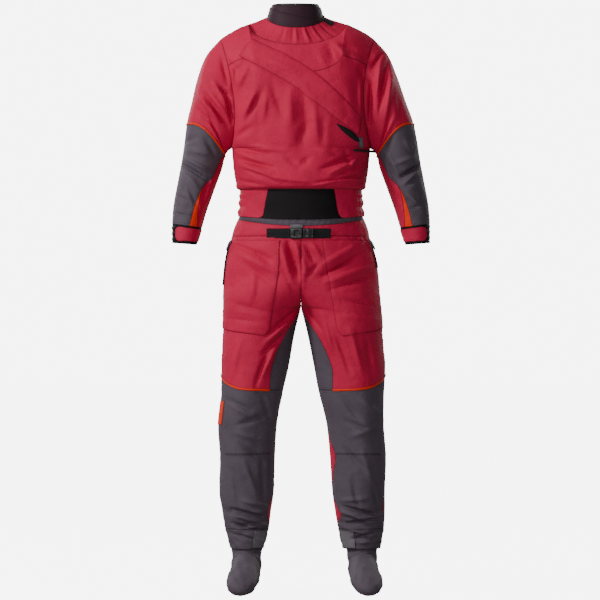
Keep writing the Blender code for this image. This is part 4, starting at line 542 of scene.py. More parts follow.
def leg_surface(side):
    """Trouser leg: share 0 is the outer seam, 1 and -1 the inner or centre seam by front and back."""
    tag = "left" if side < 0 else "right"

    def point(share, station):
        share, station = np.broadcast_arrays(np.asarray(share, float), np.asarray(station, float))
        col = {name: read(LEG, name, station) for name in LEG_HEAD[1:]}
        turn = np.radians(col["turn"])
        phi = np.abs(share) * turn
        face = np.sign(share)
        outer, inner = col["outer_" + tag], col["inner_" + tag]
        middle = (inner - outer * np.cos(turn)) / (1 - np.cos(turn))
        x = middle + (outer - middle) * np.cos(phi)
        z = col["outer_z"] + (col["inner_z"] - col["outer_z"]) * (1 - np.cos(phi)) / (1 - np.cos(turn))
        y = col["mid_y"] - face * np.where(share > 0, col["front"], col["back"]) * np.sin(phi)
        push = fold_push(np.degrees(face * phi), station, TUBE_FOLD_HEAD, LEG_FOLDS, FOLD_STRETCH)
        push = push * between(station, LEG_FOLD_ZONE)
        x, y = x + push * np.cos(phi), y - push * np.sin(phi) * face
        hip = between(station, HIP_FOLD_ZONE) * (share > 0) * ramp((1 - share) / HIP_SIDE_FOLD)
        y = y - fold_push(side * x, z, FOLD_HEAD, HIP_FOLDS) * hip
        ease = between(station, LEG_CREASE_ZONE)
        ease = ease * np.where(station < CROTCH, ramp((1 - np.abs(share)) / HIP_SIDE_CREASE), 1.0)
        ahead = crease_push(side * x, z, True) * (share > 0)
        behind = crease_push(side * x, z, False) * (share <= 0)
        y = y - (ahead - behind) * ramp(np.sin(phi) * FACING) * ease
        return stack(side * x, y, z)
    return point


def leg_core(side):
    """Middle line of a leg, used only to tell the outside of a panel from its inside."""
    tag = "left" if side < 0 else "right"

    def point(share, station):
        x = halfway(LEG, station, "outer_" + tag, "inner_" + tag)
        y = read(LEG, "mid_y", station)
        z = halfway(LEG, station, "outer_z", "inner_z")
        return stack(side * x + 0 * share, y + 0 * share, z + 0 * share)
    return point


def sock_surface(side):
    """Sock as rings tipped from level at the ankle to upright along the foot, closed at the toe."""
    def point(angle, station):
        col = {name: read(SOCK, name, station) for name in SOCK_HEAD[1:]}
        tilt = np.radians(col["tilt"])
        across = np.maximum(col["half_width"], 0.0) * np.cos(angle)
        rise = np.maximum(col["half_height"], 0.0) * np.sin(angle)
        x = side * (ANKLE_X[side] + col["toe_out"]) + side * across
        own = stack(x, col["y"] - rise * np.cos(tilt), col["z"] + rise * np.sin(tilt))
        share = np.arctan2(np.sin(angle), np.cos(angle)) / math.pi + OFF_SEAM
        level = np.full(share.shape, SOCK_SEAM_STATION)
        leg = leg_surface(side)
        inward = normals(leg, share, level, leg_core(side)(share, level)) * (CLOTH + SOCK_GAP)
        near = ramp(1 - station)[..., None]
        return own * (1 - near) + (leg(share, level) - inward) * near
    return point


def grid(first, second):
    """Columns along the first list and rows along the second."""
    return np.meshgrid(np.asarray(first, float), np.asarray(second, float))


KNEE_SHARES = np.array([0.0, 0.15, 0.35, 0.6, 0.75, 1.0])
KNEE_STATIONS = np.array([8.28, 8.5, 8.75, 8.88, 8.93, 8.94])
GREY_HEAD = ("station", "share")
GREY_EDGE = named(GREY_HEAD, ((CROTCH, 0.985), (7.0, 0.77), (8.0, 0.68), (9.0, 0.70)))
SHIN_HEAD = ("station", "outer", "inner")
SHIN_LEFT = named(SHIN_HEAD, (
    (8.2, 0.0, 0.99), (10.0, 0.02, 0.99), (11.8, 0.04, 0.98), (12.1, 0.03, 0.93),
    (12.6, 0.03, 0.85), (13.1, 0.02, 0.83), (13.6, 0.01, 0.90), (14.0, 0.0, 0.98)))
SHIN_RIGHT = named(SHIN_HEAD, (
    (8.2, 0.11, 0.99), (9.1, 0.10, 0.99), (9.8, 0.03, 0.98), (10.3, 0.0, 0.90),
    (10.8, -0.02, 0.80), (11.4, -0.01, 0.88), (11.9, 0.03, 0.97), (12.7, 0.11, 0.84),
    (13.1, 0.09, 0.78), (13.6, 0.05, 0.90), (14.0, 0.0, 0.98)))
FOREARM_HEAD = ("station", "front_seam", "wedge", "back_seam")
FOREARM = named(FOREARM_HEAD, (
    (4.0, 165.0, 0.0, -165.0), (4.6, 151.0, 0.0, -146.0), (5.1, 143.0, 0.0, -140.0),
    (5.6, 138.0, 0.0, -132.0), (6.2, 113.0, 1.6, -124.0), (6.8, 106.0, 12.0, -118.0),
    (7.4, 103.0, 23.0, -112.0), (8.0, 101.0, 34.0, -110.0)))
SEAM_SHARE = 0.99
THIGH_LEVELS = (0.0, 0.5, 1.0, 2.0, 3.0, 4.0, 5.0, CROTCH, 6.7325, 7.465, 8.1975, KNEE)

HEM_TOP_Z = -430.0
OVERSKIRT = {"half": 165.0, "front": 108.0, "back": 100.0, "bottom_side": -514.0, "bottom_front": -524.0}
WAIST_TOP = {"half": 171.0, "front": 107.0, "back": 101.0, "side_z": -523.0, "front_z": -541.0}


def share_wrap(share):
    """Bring a share that runs on past the inner seam round to the back."""
    return np.where(share > 1.0, share - 2.0, share)


def neck_seam(alpha):
    """Loop where the neck band joins the yoke and back."""
    s, c = np.sin(alpha), np.cos(alpha)
    z = NECK_SIDE_Z - np.where(c > 0, NECK_DIP_FRONT, -NECK_RISE_BACK) * np.abs(c)
    y = -np.where(c > 0, NECK_FRONT_Y, NECK_BACK_Y) * c
    return stack(NECK_HALF_WIDTH * s + lean(z), y, z)


COLLAR_LEAST = 4.0
COLLAR = {"half": 78.0, "front": 66.0, "back": 58.0, "shift": -3.5, "side_z": 24.0, "dip": 31.0,
          "rise": 10.0, "tall": 80.0, "taper": 22.0, "taper_deep": 0.8}
# Top edges of the collar's layers: height at the sides, and what is added toward the right and the front.
TOP_EDGES = {"collar_wrap": (33.0, -17.0, -8.0), "collar": (54.0, -3.0, -1.5),
             "neck_gasket": (59.0, 0.0, 0.0)}


def collar_loop(alpha, z=None):
    """Ring of the collar at a height, narrowing upward from its base."""
    s, c = np.sin(alpha), np.cos(alpha)
    base = COLLAR["side_z"] - np.where(c > 0, COLLAR["dip"], -COLLAR["rise"]) * np.abs(c)
    z = base if z is None else z
    narrow = ramp((z - base) / COLLAR["tall"]) * COLLAR["taper"]
    x = (COLLAR["half"] - narrow) * s
    y = -np.where(c > 0, COLLAR["front"], COLLAR["back"]) * c + narrow * COLLAR["taper_deep"] * c
    return stack(x + COLLAR["shift"] + LEAN, y, z)


def top_edge(name, alpha):
    """Height of a collar layer's top edge round the neck."""
    level, right, front = TOP_EDGES[name]
    return level + right * np.sin(alpha) + front * np.cos(alpha)


def waist_top(around):
    """Top edge of the waistband, dipped at the front."""
    s, c = np.sin(around), np.cos(around)
    z = WAIST_TOP["side_z"] + (WAIST_TOP["front_z"] - WAIST_TOP["side_z"]) * np.maximum(c, 0) ** 2
    y = -np.where(c > 0, WAIST_TOP["front"], WAIST_TOP["back"]) * c
    return stack(WAIST_TOP["half"] * s, y, z)


def waist_bottom(around):
    """Lower edge of the waistband, which is the top edge of the legs' panels."""
    points = []
    for angle in around:
        turn = (math.degrees(angle) + 180) % 360 - 180
        side = 1 if turn >= 0 else -1
        share = (90 - abs(turn)) / 90
        points.append(leg_surface(side)(np.array(share), np.array(0.0)))
    return np.array(points)


NO_AREA = 1e-6
INSIDE = 1e-4
FAR_BACK = 1e6


def front_base(outer, normal):
    """Front of a panel by x and z: the facet met first from the front, with its blended normal."""
    points, lines = [], []
    for grid_points, found in ((outer, points), (normal, lines)):
        corner = [part.reshape(-1, 3) for part in (grid_points[:-1, :-1], grid_points[:-1, 1:],
                                                   grid_points[1:, 1:], grid_points[1:, :-1])]
        for ids in ((0, 1, 2), (0, 2, 3)):
            found.append(np.stack([corner[j] for j in ids], axis=1))
    points, lines = np.concatenate(points), np.concatenate(lines)
    a, b, c = points[:, 0], points[:, 1], points[:, 2]
    whole = (b[:, 0] - a[:, 0]) * (c[:, 2] - a[:, 2]) - (c[:, 0] - a[:, 0]) * (b[:, 2] - a[:, 2])
    whole = np.where(np.abs(whole) < NO_AREA, NO_AREA, whole)

    def at(x, z):
        px, pz = np.ravel(x)[:, None], np.ravel(z)[:, None]
        wb = ((px - a[:, 0]) * (c[:, 2] - a[:, 2]) - (c[:, 0] - a[:, 0]) * (pz - a[:, 2])) / whole
        wc = ((b[:, 0] - a[:, 0]) * (pz - a[:, 2]) - (px - a[:, 0]) * (b[:, 2] - a[:, 2])) / whole
        wa = 1 - wb - wc
        out = np.maximum(np.maximum(-wa, -wb), -wc)
        y = wa * a[:, 1] + wb * b[:, 1] + wc * c[:, 1]
        pick = np.argmin(np.where(out < INSIDE, y, FAR_BACK * (1 + np.clip(out, 0, 50))), axis=1)
        k = np.arange(len(pick))
        weight = np.stack((wa[k, pick], wb[k, pick], wc[k, pick]), axis=1)[:, :, None]
        point = (weight * points[pick]).sum(axis=1)
        line = unit((weight * lines[pick]).sum(axis=1))
        return point.reshape(*np.shape(x), 3), line.reshape(*np.shape(x), 3)
    return at


def strip_between(upper, lower, spans):
    """Grid between two lines of named (x, z) points, given at the same number of stations."""
    upper, lower = np.array(upper, float), np.array(lower, float)
    w = np.linspace(0, 1, spans + 1)[:, None, None]
    both = upper[None] * (1 - w) + lower[None] * w
    return both[..., 0], both[..., 1]


FLAP_HEAD = ("upper_x", "upper_z", "lower_x", "lower_z")
FLAP_ROWS = (
    (-128.0, -40.0, -164.0, -86.0),
    (-104.0, -52.0, -132.0, -104.0),
    (-78.0, -65.0, -98.0, -122.0),
    (-46.0, -79.0, -66.0, -140.0),
    (-20.0, -94.0, -34.0, -158.0),
    (6.0, -109.0, -4.0, -179.0),
    (32.0, -127.0, 26.0, -203.0),
    (58.0, -147.0, 56.0, -224.0),
    (88.0, -174.0, 86.0, -248.0),
    (112.0, -197.0, 108.0, -264.0),
    (136.0, -222.0, 131.0, -281.0),
    (158.0, -248.0, 152.0, -298.0),
)
ZIP_HEAD = ("x", "z", "half")
ZIP_ROWS = (
    (96.0, -270.0, 1.5),
    (112.0, -281.0, 6.0),
    (128.0, -292.0, 8.0),
    (144.0, -305.0, 7.0),
    (154.0, -314.0, 3.0),
)

BAR = {"length": 58.0, "thick": 7.0, "deep": 7.0}
TAB_HEAD = ("angle", "top", "bottom")
CUFF_TAB = named(TAB_HEAD, ((44.0, 8.26, 8.62), (52.0, 8.14, 8.8), (90.0, 8.1, 8.84), (130.0, 8.1, 8.84),
                            (185.0, 8.12, 8.82)))
POCKET = {"top": 0.6, "bottom": 7.35, "outer": 0.25, "belly": 0.88}
POCKET_ROWS = np.array((0.6, 1.0, 2.0, 3.0, 4.0, 5.0, 6.0, 7.0, 7.35))


def lengths(points, axis):
    """Running length in millimetres along one direction of a grid of points, starting at nought."""
    step = np.linalg.norm(np.diff(points, axis=axis), axis=-1)
    pad = [(0, 0), (0, 0)]
    pad[axis] = (1, 0)
    return np.cumsum(np.pad(step, pad), axis=axis)


RIPPLE_HEAD = ("length", "shift", "beat", "beat_shift", "height")
RIPPLES = ((4.3, 1.7, 31.0, 1.0, 0.6), (7.9, 2.9, 53.0, 2.1, 0.7))
FINE_RIPPLE = {"length": 2.9, "shift": 4.1, "height": 0.25}


def ripple(run, seed):
    """Uneven waves along a seam: sines of different lengths, the longer ones coming and going."""
    total = FINE_RIPPLE["height"] * np.sin(run / FINE_RIPPLE["length"] + seed * FINE_RIPPLE["shift"])
    for values in RIPPLES:
        row = dict(zip(RIPPLE_HEAD, values))
        strength = 0.5 + 0.5 * np.sin(run / row["beat"] + row["beat_shift"] * seed)
        total = total + row["height"] * np.sin(run / row["length"] + seed * row["shift"]) * strength
    return total


PUCKER = {"sink_width": 2.6, "wave_width": 11.0, "edge_width": 1.2, "edge_share": 0.6, "next_edge": 37.0}


def puckered(outer, normal, ring, seed, sink, wave, ends):
    """Panel drawn in along its sewn edges: sink at the seam, with small uneven waves fading inward."""
    far = np.full(outer.shape[:2], 1e3)
    run = np.zeros(outer.shape[:2])
    along_rows, along_cols = lengths(outer, 0), lengths(outer, 1)
    edges = ((ends[0], along_rows, along_cols),
             (ends[1], along_rows[-1:] - along_rows, along_cols),
             (not ring, along_cols, along_rows),
             (not ring, along_cols[:, -1:] - along_cols, along_rows))
    sewn = [(away, along) for wanted, away, along in edges if wanted]
    for k, (away, along) in enumerate(sewn):
        run = np.where(away < far, along + PUCKER["next_edge"] * k, run)
        far = np.minimum(far, away)
    push = wave * np.exp(-(far / PUCKER["wave_width"]) ** 2) * ripple(run, seed)
    push = push - sink * np.exp(-(far / PUCKER["sink_width"]) ** 2)
    push = push * (1 - np.exp(-(far / PUCKER["edge_width"]) ** 2) * PUCKER["edge_share"])
    return outer + push[..., None] * normal


def shell_faces(index, maps, ring, tip):
    """Faces of a shell's two sides and of the rims on its cut edges, with their corners' UV numbers."""
    rows, spans = index.shape[1], index.shape[2] - 1
    faces = []

    def corner(layer, r, c):
        return index[layer][r, c], maps[r, c]

    def add(corners, flip):
        ids = np.stack([one[0] for one in corners], axis=-1).reshape(-1, len(corners))
        uvs = np.stack([one[1] for one in corners], axis=-2).reshape(-1, len(corners), 4)
        faces.append((ids[:, ::-1], uvs[:, ::-1]) if flip else (ids, uvs))

    left, right = slice(0, -1), slice(1, None)
    above, below = (slice(0, rows - 2), slice(1, rows - 1)) if tip else (left, right)
    for layer in range(2):
        add([corner(layer, above, left), corner(layer, above, right),
             corner(layer, below, right), corner(layer, below, left)], layer == 1)
        if tip:
            add([corner(layer, rows - 2, left), corner(layer, rows - 2, right),
                 corner(layer, rows - 1, left)], layer == 1)
    for r, flip in ((0, False),) if tip else ((0, False), (rows - 1, True)):
        add([corner(0, r, left), corner(1, r, left), corner(1, r, right), corner(0, r, right)], flip)
    if not ring:
        for c, flip in ((0, True), (spans, False)):
            add([corner(0, left, c), corner(1, left, c), corner(1, right, c), corner(0, right, c)], flip)
    return faces


def cloth(name, outer, normal, wall, slot_name, ring=False, tip=False, node=None):
    """Closed thin shell in metres: outer grid, inner copy one wall inside, rims on every cut edge.
    Its UV map is the running length along the cloth in metres, and UV "hem" the distance to its edges."""
    rows, cols = outer.shape[:2]
    closed = np.concatenate((outer, outer[:, :1]), axis=1) if ring else outer
    u, v = lengths(closed, 1) * MM, lengths(closed, 0) * MM
    side = np.ones(u.shape) if ring else np.minimum(u, u[:, -1:] - u)
    end = np.minimum(v, v[-1:] - v)
    layers = np.stack((outer, outer - wall * normal))
    index = np.arange(2 * rows * cols).reshape(2, rows, cols)
    if tip:
        layers[:, -1] = layers[:, -1].mean(axis=1, keepdims=True)
        index[:, -1, :] = index[:, -1, :1]
    if ring:
        index = np.concatenate((index, index[:, :, :1]), axis=2)
    faces = shell_faces(index, np.stack((u, v, side, end), axis=-1), ring, tip)
    border = np.zeros((2, rows, cols), bool)
    border[:, 0] = True
    border[:, -1] = not tip
    if not ring:
        border[:, :, 0] = border[:, :, -1] = True
    return meshed(name, layers.reshape(-1, 3) * MM, faces, border.reshape(-1), slot_name, node)


def wound_outward(points, faces):
    """Faces turned over where their signed volume says that they face inward."""
    volume = 0.0
    for ids, _ in faces:
        p = points[ids]
        for k in range(1, ids.shape[1] - 1):
            volume += float(np.einsum("ij,ij->i", p[:, 0], np.cross(p[:, k], p[:, k + 1])).sum())
    if volume < 0:
        return [(ids[:, ::-1], uvs[:, ::-1]) for ids, uvs in faces]
    return faces


def meshed(name, points, faces, border, slot_name, node):
    """Mesh object from faces in whole arrays, with UV maps, sharp cut edges, material, body and node."""
    used = np.unique(np.concatenate([ids.reshape(-1) for ids, _ in faces]))
    back = np.full(len(points), -1)
    back[used] = np.arange(len(used))
    points, border = points[used], border[used]
    faces = wound_outward(points, [(back[ids], uvs) for ids, uvs in faces])
    mesh = bpy.data.meshes.new(name)
    mesh.from_pydata(points.tolist(), [], [face for ids, _ in faces for face in ids.tolist()])
    flat = np.concatenate([uvs.reshape(-1, 4) for _, uvs in faces])
    for label, columns in (("weave", (0, 1)), ("hem", (2, 3))):
        layer = mesh.uv_layers.new(name=label)
        layer.data.foreach_set("uv", np.ascontiguousarray(flat[:, columns], np.float32).reshape(-1))
    mesh.shade_smooth()
    edges = np.zeros(len(mesh.edges) * 2, np.int32)
    mesh.edges.foreach_get("vertices", edges)
    edges = edges.reshape(-1, 2)
    half = len(points) // 2
    same = (edges[:, 0] < half) == (edges[:, 1] < half)
    sharp = mesh.attributes.new("sharp_edge", "BOOLEAN", "EDGE")
    sharp.data.foreach_set("value", border[edges].all(axis=1) & same)
    obj = bpy.data.objects.new(name, mesh)
    bpy.context.scene.collection.objects.link(obj)
    mesh.materials.append(finish_of(slot_name))
    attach(obj, "suit")
    if node:
        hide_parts(node)
    return obj


def cut_area(points):
    """Area of a grid of points in square millimetres."""
    a, b = points[:-1, :-1], points[:-1, 1:]
    c, d = points[1:, 1:], points[1:, :-1]
    one = np.linalg.norm(np.cross(b - a, c - a), axis=-1)
    two = np.linalg.norm(np.cross(c - a, d - a), axis=-1)
    return float((one + two).sum() / 2)


SHELL_WALL = 1.2
LEAST_SHARE, MOST_SHARE = 0.31, 0.999


def panel(name, outer, normal, slot_name, wall=SHELL_WALL, ring=False, tip=False, seed=1.0, sink=0.9,
          wave=0.8, ends=(True, True), held="stretched", rests=()):
    """A cut panel: its form with drawn-in edges, and the cut's size taken from the smooth form."""
    closed = np.concatenate((outer, outer[:, :1]), axis=1) if ring else outer
    length = float(lengths(closed, 0)[-1].max())
    width = float(lengths(closed, 1)[:, -1].max())
    area = min(max(cut_area(closed), LEAST_SHARE * width * length), MOST_SHARE * width * length)
    done = puckered(outer, normal, ring, seed, sink, wave, ends)
    obj = cloth(name + "_cloth", done, normal, wall, slot_name, ring, tip, name)
    list(rests)


SEAM_EASE = 12


def ease_from(normal, first):
    """Normals whose first row is a shared one, easing over the rows below it."""
    w = np.linspace(0, 1, len(normal))[:, None, None]
    ease = ramp(1 - w * SEAM_EASE)
    return unit(normal * (1 - ease) + first[None] * ease)


# Panels of the blouse: front or back, lowest and highest row, and how many rows of points they have.
YOKE_ROW = 1 - YOKE_ANGLE / 180.0
TRUNK_CUTS = {"chest_front": (True, -1.0, YOKE_ROW, 96), "yoke_front": (True, YOKE_ROW, 1.0, 30),
              "back": (False, -1.0, 1.0, 120)}
TRUNK_POINTS = 97
CROWDED = 0.35
CORE_SHARE = np.array([0.35, 0.0, 1.0])
EDGE_COLUMN = EDGE_ROW = 0.985
TOP_LIFT = 0.6


def trunk_cloth():
    """Blouse front, yoke and back on fine grids, with points crowded toward their side edges."""
    even = np.linspace(-1, 1, TRUNK_POINTS)
    columns = np.sin(even * math.pi / 2) * CROWDED + even * (1 - CROWDED)
    for name, (front, low, high, count) in TRUNK_CUTS.items():
        surface = trunk_surface(front)
        u, v = grid(columns, np.linspace(low, high, count))
        outer = surface(u, v)
        normal = normals(surface, np.clip(u, -EDGE_COLUMN, EDGE_COLUMN), np.minimum(v, EDGE_ROW),
                         outer * CORE_SHARE)
        for side, column in ((-1, 0), (1, -1)):
            up = v[:, column]
            sideways = np.array([side, 0.0, 0.0])
            normal[:, column] = np.where(up[:, None] > 0, armhole_normals(side, front, ramp(up)), sideways)
        if high == 1.0:
            normal[-1, :, 2] += TOP_LIFT
            normal[-1, :, 1] *= TOP_LIFT
        panel(name, outer, unit(normal), "shell_red", seed=2.0 + count / 50, wave=0.9, held="hung")


NEAR_SEAM = 0.12


def armhole_normals(side, front, steps):
    """Shared normals along one half of an armhole, from the armpit to the shoulder."""
    face = 1.0 if front else -1.0
    angle = face * math.pi * (1 - steps)
    near = np.full(angle.shape, NEAR_SEAM)
    one = normals(sleeve_surface(side), angle, near, sleeve_core(angle, near) * np.array([side, 1, 1]))
    trunk = trunk_surface(front)
    column, row = np.full(angle.shape, side * 0.97), np.clip(steps, 0.01, EDGE_ROW)
    two = normals(trunk, column, row, trunk(column, row) * CORE_SHARE)
    return unit(one + two)


# Forearm panels: first row of the grid, number of spans across, and material.
FOREARM_PANELS = (("forearm_outer_", 0, 72, "shell_grey"), ("forearm_inner_", 0, 34, "shell_red"),
                  ("forearm_wedge_", 41, 8, "trim_orange"))
SLEEVE_POINTS = 97


def sleeve_cloth(side, tag):
    """Upper sleeve, forearm panels, wrist cuff, piping and cuff tab of one arm."""
    surface = sleeve_surface(side)
    flip = np.array([side, 1, 1])

    def core(angle, station):
        return sleeve_core(angle, station) * flip

    around = np.linspace(0, 2 * math.pi, SLEEVE_POINTS)[:-1]
    u, v = grid(around, np.linspace(0, ELBOW, 84))
    steps = 1 - np.abs(np.arctan2(np.sin(around), np.cos(around))) / math.pi
    shared = np.where((np.sin(around) >= 0)[:, None], armhole_normals(side, True, steps),
                      armhole_normals(side, False, steps))
    shared[0] = np.array([side * 0.35, 0.0, 0.94])
    normal = ease_from(normals(surface, u, np.maximum(v, NEAR_SEAM), core(u, v)), shared)
    panel("sleeve_upper_" + tag, surface(u, v), normal, "shell_red", ring=True, seed=3.0 + side,
          held="hung")
    forearm_cloth(surface, core, side, tag)
    u, v = grid(around, np.linspace(WRIST, CUFF_END, 22))
    normal = normals(surface, u, v, core(u, v))
    turn = np.degrees(np.arctan2(np.sin(u), np.cos(u)))
    soft = 0.7 * np.sin(v * 21 + side) * np.exp(-((turn + 20 * side) / 90.0) ** 2)
    panel("wrist_cuff_" + tag, surface(u, v) + soft[..., None] * normal, normal, "neoprene_black", 1.6,
          ring=True, seed=7.0, wave=0.3, sink=0.5)
    level = np.full(around.shape, ELBOW)
    line = normals(surface, around, level, core(around, level))
    above, seam, below = (surface(around, level + step) for step in (-0.1, 0.0, 0.1))
    piping("elbow_piping_" + tag, above, seam, below, line, True)
    patch_on(surface, core, "cuff_tab_" + tag, side)


def forearm_cloth(surface, core, side, tag):
    """Outer and inner forearm and the wedge between them."""
    stations = np.linspace(ELBOW, WRIST, 76)
    front, wide, back = (np.radians(read(FOREARM, name, stations)) for name in FOREARM_HEAD[1:])
    wedge = front + np.maximum(wide, 0.0)
    bounds = ((back, front), (wedge, back + 2 * math.pi), (front, wedge))
    for k, (name, first, spans, slot_name) in enumerate(FOREARM_PANELS):
        start, stop = bounds[k]
        t = np.linspace(0, 1, spans + 1)[None, :]
        u = start[first:, None] * (1 - t) + stop[first:, None] * t
        v = np.repeat(stations[first:, None], spans + 1, axis=1)
        panel(name + tag, surface(u, v), normals(surface, u, v, core(u, v)), slot_name, seed=5.0 + k + side,
              wave=0.6)


PIPING_BASE, PIPING_CROWN, PIPING_SHELL = 0.7, 1.5, 0.7


def piping(name, above, seam, below, normal, ring):
    """Rounded piping along a seam: seven points across, highest in the middle, over the panels' edges."""
    up, down = unit(above - seam), unit(below - seam)
    rows = []
    for t in np.linspace(-1, 1, 7):
        reach = PIPING_HALF * abs(t) * (up if t < 0 else down)
        height = PIPING_BASE + PIPING_CROWN * math.sqrt(max(1 - t * t, 0.0))
        rows.append(seam + reach + height * normal)
    line = np.repeat(normal[None], len(rows), axis=0)
    cloth(name + "_cord", np.stack(rows), line, PIPING_SHELL, "trim_orange", ring=ring, node=name)


CUFF_TAB_LIFT = 1.9


def patch_on(surface, core, name, side):
    """Rounded tab sewn on the wrist cuff."""
    angles = np.linspace(CUFF_TAB["angle"][0], CUFF_TAB["angle"][-1], 33)
    top, bottom = (read(CUFF_TAB, edge, angles) for edge in TAB_HEAD[1:])
    w = np.linspace(0, 1, 13)[:, None]
    v = top[None] * (1 - w) + bottom[None] * w
    u = np.repeat(np.radians(angles)[None], 13, axis=0)
    normal = normals(surface, u, v, core(u, v))
    panel(name, surface(u, v) + CUFF_TAB_LIFT * normal, normal, "shell_red", 1.0, seed=9.0 + side, sink=0.7,
          wave=0.2, held="laid", rests=["wrist_cuff_" + name[-1]])


NECK_POINTS = 288
GATHERS = {"count_length": 7.5, "second_length": 4.1, "second": 0.45, "height": 1.9, "least": 0.35,
           "middle": 22.0, "spread": 42.0, "sag": 3.0}
# Rows and columns of the neck band's grid under the collar tab, and the tab's height over them.
COLLAR_TAB = (slice(13, 26), slice(55, 68))
COLLAR_TAB_LIFT = 1.6
COLLAR_HEAD = ("name", "inset", "first", "wall", "slot", "rows")
COLLAR_LAYERS = (("collar_wrap", 0.0, 0.0, 2.6, "collar_plum", 26),
                 ("collar", 3.35, 0.02, 2.6, "collar_plum", 30),
                 ("neck_gasket", 6.7, 0.25, 1.1, "gasket_rubber", 24))
EDGE_ROLL, EDGE_ROLL_REACH = 0.9, 0.07


def outward(alpha, side=1.0, front=1.0, up=0.0):
    """Directions away from the middle line round a ring."""
    return stack(np.sin(alpha) * side, -np.cos(alpha) * front, up + 0 * alpha)


def neck_cloth():
    """Gathered neck band with the tab on it, wrapped collar, inner collar and neck gasket."""
    alpha = np.arange(NECK_POINTS) * 2 * math.pi / NECK_POINTS
    neck_band(alpha)
    around, base = outward(alpha), collar_loop(alpha)[:, 2]
    for values in COLLAR_LAYERS:
        layer = dict(zip(COLLAR_HEAD, values))
        rows = []
        for t in np.linspace(layer["first"], 1.0, layer["rows"]):
            z = base * (1 - t) + np.maximum(top_edge(layer["name"], alpha), base + COLLAR_LEAST) * t
            point = collar_loop(alpha, z)
            point[:, 2] = z
            soft = 0.5 * np.sin(3 * alpha + 5 * t) + 0.35 * np.sin(7 * alpha - 6 * t)
            roll = EDGE_ROLL * math.exp(-((1 - t) / EDGE_ROLL_REACH) ** 2)
            rows.append(point - (layer["inset"] + roll - 0.4 * soft)[:, None] * around)
        normal = np.repeat(around[None], len(rows), axis=0)
        panel(layer["name"], np.stack(rows), normal, layer["slot"], layer["wall"], ring=True, seed=6.0,
              sink=0.3, wave=0.15, ends=(True, False))


def neck_band(alpha):
    """Band gathered between the yoke's seam and the collar, deepest at the front, and its webbing tab."""
    turn = (np.degrees(alpha) + 180) % 360 - 180
    low, high = neck_seam(alpha), collar_loop(alpha)
    there = np.exp(-((turn - GATHERS["middle"]) / GATHERS["spread"]) ** 4)
    there = GATHERS["least"] + (1 - GATHERS["least"]) * there
    gather = np.cos(turn * math.pi / GATHERS["count_length"])
    gather = gather + GATHERS["second"] * np.cos(turn * math.pi / GATHERS["second_length"] + 1.0)
    out = outward(alpha, up=0.4)
    rows = []
    for t in np.linspace(0, 1, 26):
        bulge = math.sin(math.pi * t)
        push = GATHERS["height"] * gather * there * bulge ** 0.6 - GATHERS["sag"] * bulge
        push = push + np.sin(turn / 13.0 + 3 * t) * bulge
        rows.append(low * (1 - t) + high * t + out * push[:, None])
    outer = np.stack(rows)
    normal = np.repeat(unit(outward(alpha, 0.45, 0.55, 0.75))[None], len(rows), axis=0)
    panel("neck_band", outer, normal, "shell_red", ring=True, seed=4.0, wave=0.5, held="gathered")
    base, line = outer[COLLAR_TAB], normal[COLLAR_TAB]
    cloth("collar_tab_webbing", base + COLLAR_TAB_LIFT * line, line, SHELL_WALL, "webbing_black")


RUFFLE = {"middle": 92.0, "spread": 26.0, "height": 4.0, "waves": 3.5, "calm_above": 22.0, "calm_ease": 8.0,
          "small": 0.9, "flare": 5.0, "flare_from": 0.6}


def over_form(angle, t):
    """Overskirt by the turn about the waist and the share of its height, ruffled at the sides."""
    seam, c = OVERSKIRT, np.cos(angle)
    bottom = seam["bottom_side"] + (seam["bottom_front"] - seam["bottom_side"]) * np.maximum(c, 0) ** 2
    z = HEM_TOP_Z + (bottom - HEM_TOP_Z) * t
    ring = waist_surface(seam["half"], seam["front"], seam["back"])(angle, z)
    degrees = np.abs(np.degrees(angle))
    side = np.exp(-((degrees - RUFFLE["middle"]) / RUFFLE["spread"]) ** 4)
    calm = ramp((HEM_TOP_Z - RUFFLE["calm_above"] - z) / RUFFLE["calm_ease"])
    shift = 0.35 * np.sin(angle * 9 + 1.3) + 0.2 * np.sin(angle * 23)
    puff = RUFFLE["height"] * (1 + np.cos(t * 2 * math.pi * RUFFLE["waves"] + shift)) * 0.5
    small = RUFFLE["small"] * np.sin(angle * 34 + 4 * t)
    soft = 1.2 * np.sin(z / 14.0 + 2.0 * np.sin(angle * 3)) * np.exp(-((degrees - 45) / 30.0) ** 2)
    flare = ramp((t - RUFFLE["flare_from"]) / (1 - RUFFLE["flare_from"])) ** 2
    flare = RUFFLE["flare"] * flare * np.abs(np.sin(angle))
    push = (puff + small) * side * calm + flare + soft * calm
    return ring + outward(angle) * push[..., None]


# The seam between the overskirt's front and sides in degrees of turn, and how far the front runs on
# under the sides.
OVER_EDGE = {"top": 29.0, "spread": 7.0, "under": 5.5, "tuck": 1.5, "corner": 5.2, "corner_from": 0.86}
OVER_ROWS, OVER_FRONT_POINTS, OVER_SIDE_POINTS, WAIST_POINTS = 44, 63, 97, 256
GUSSET_LIP = {"half": 167.5, "front": 105.4, "back": 98.6}
GUSSET_TOP = {"half": 162.3, "front": 104.2, "back": 97.2}
GUSSET_TOP_Z = -498.0


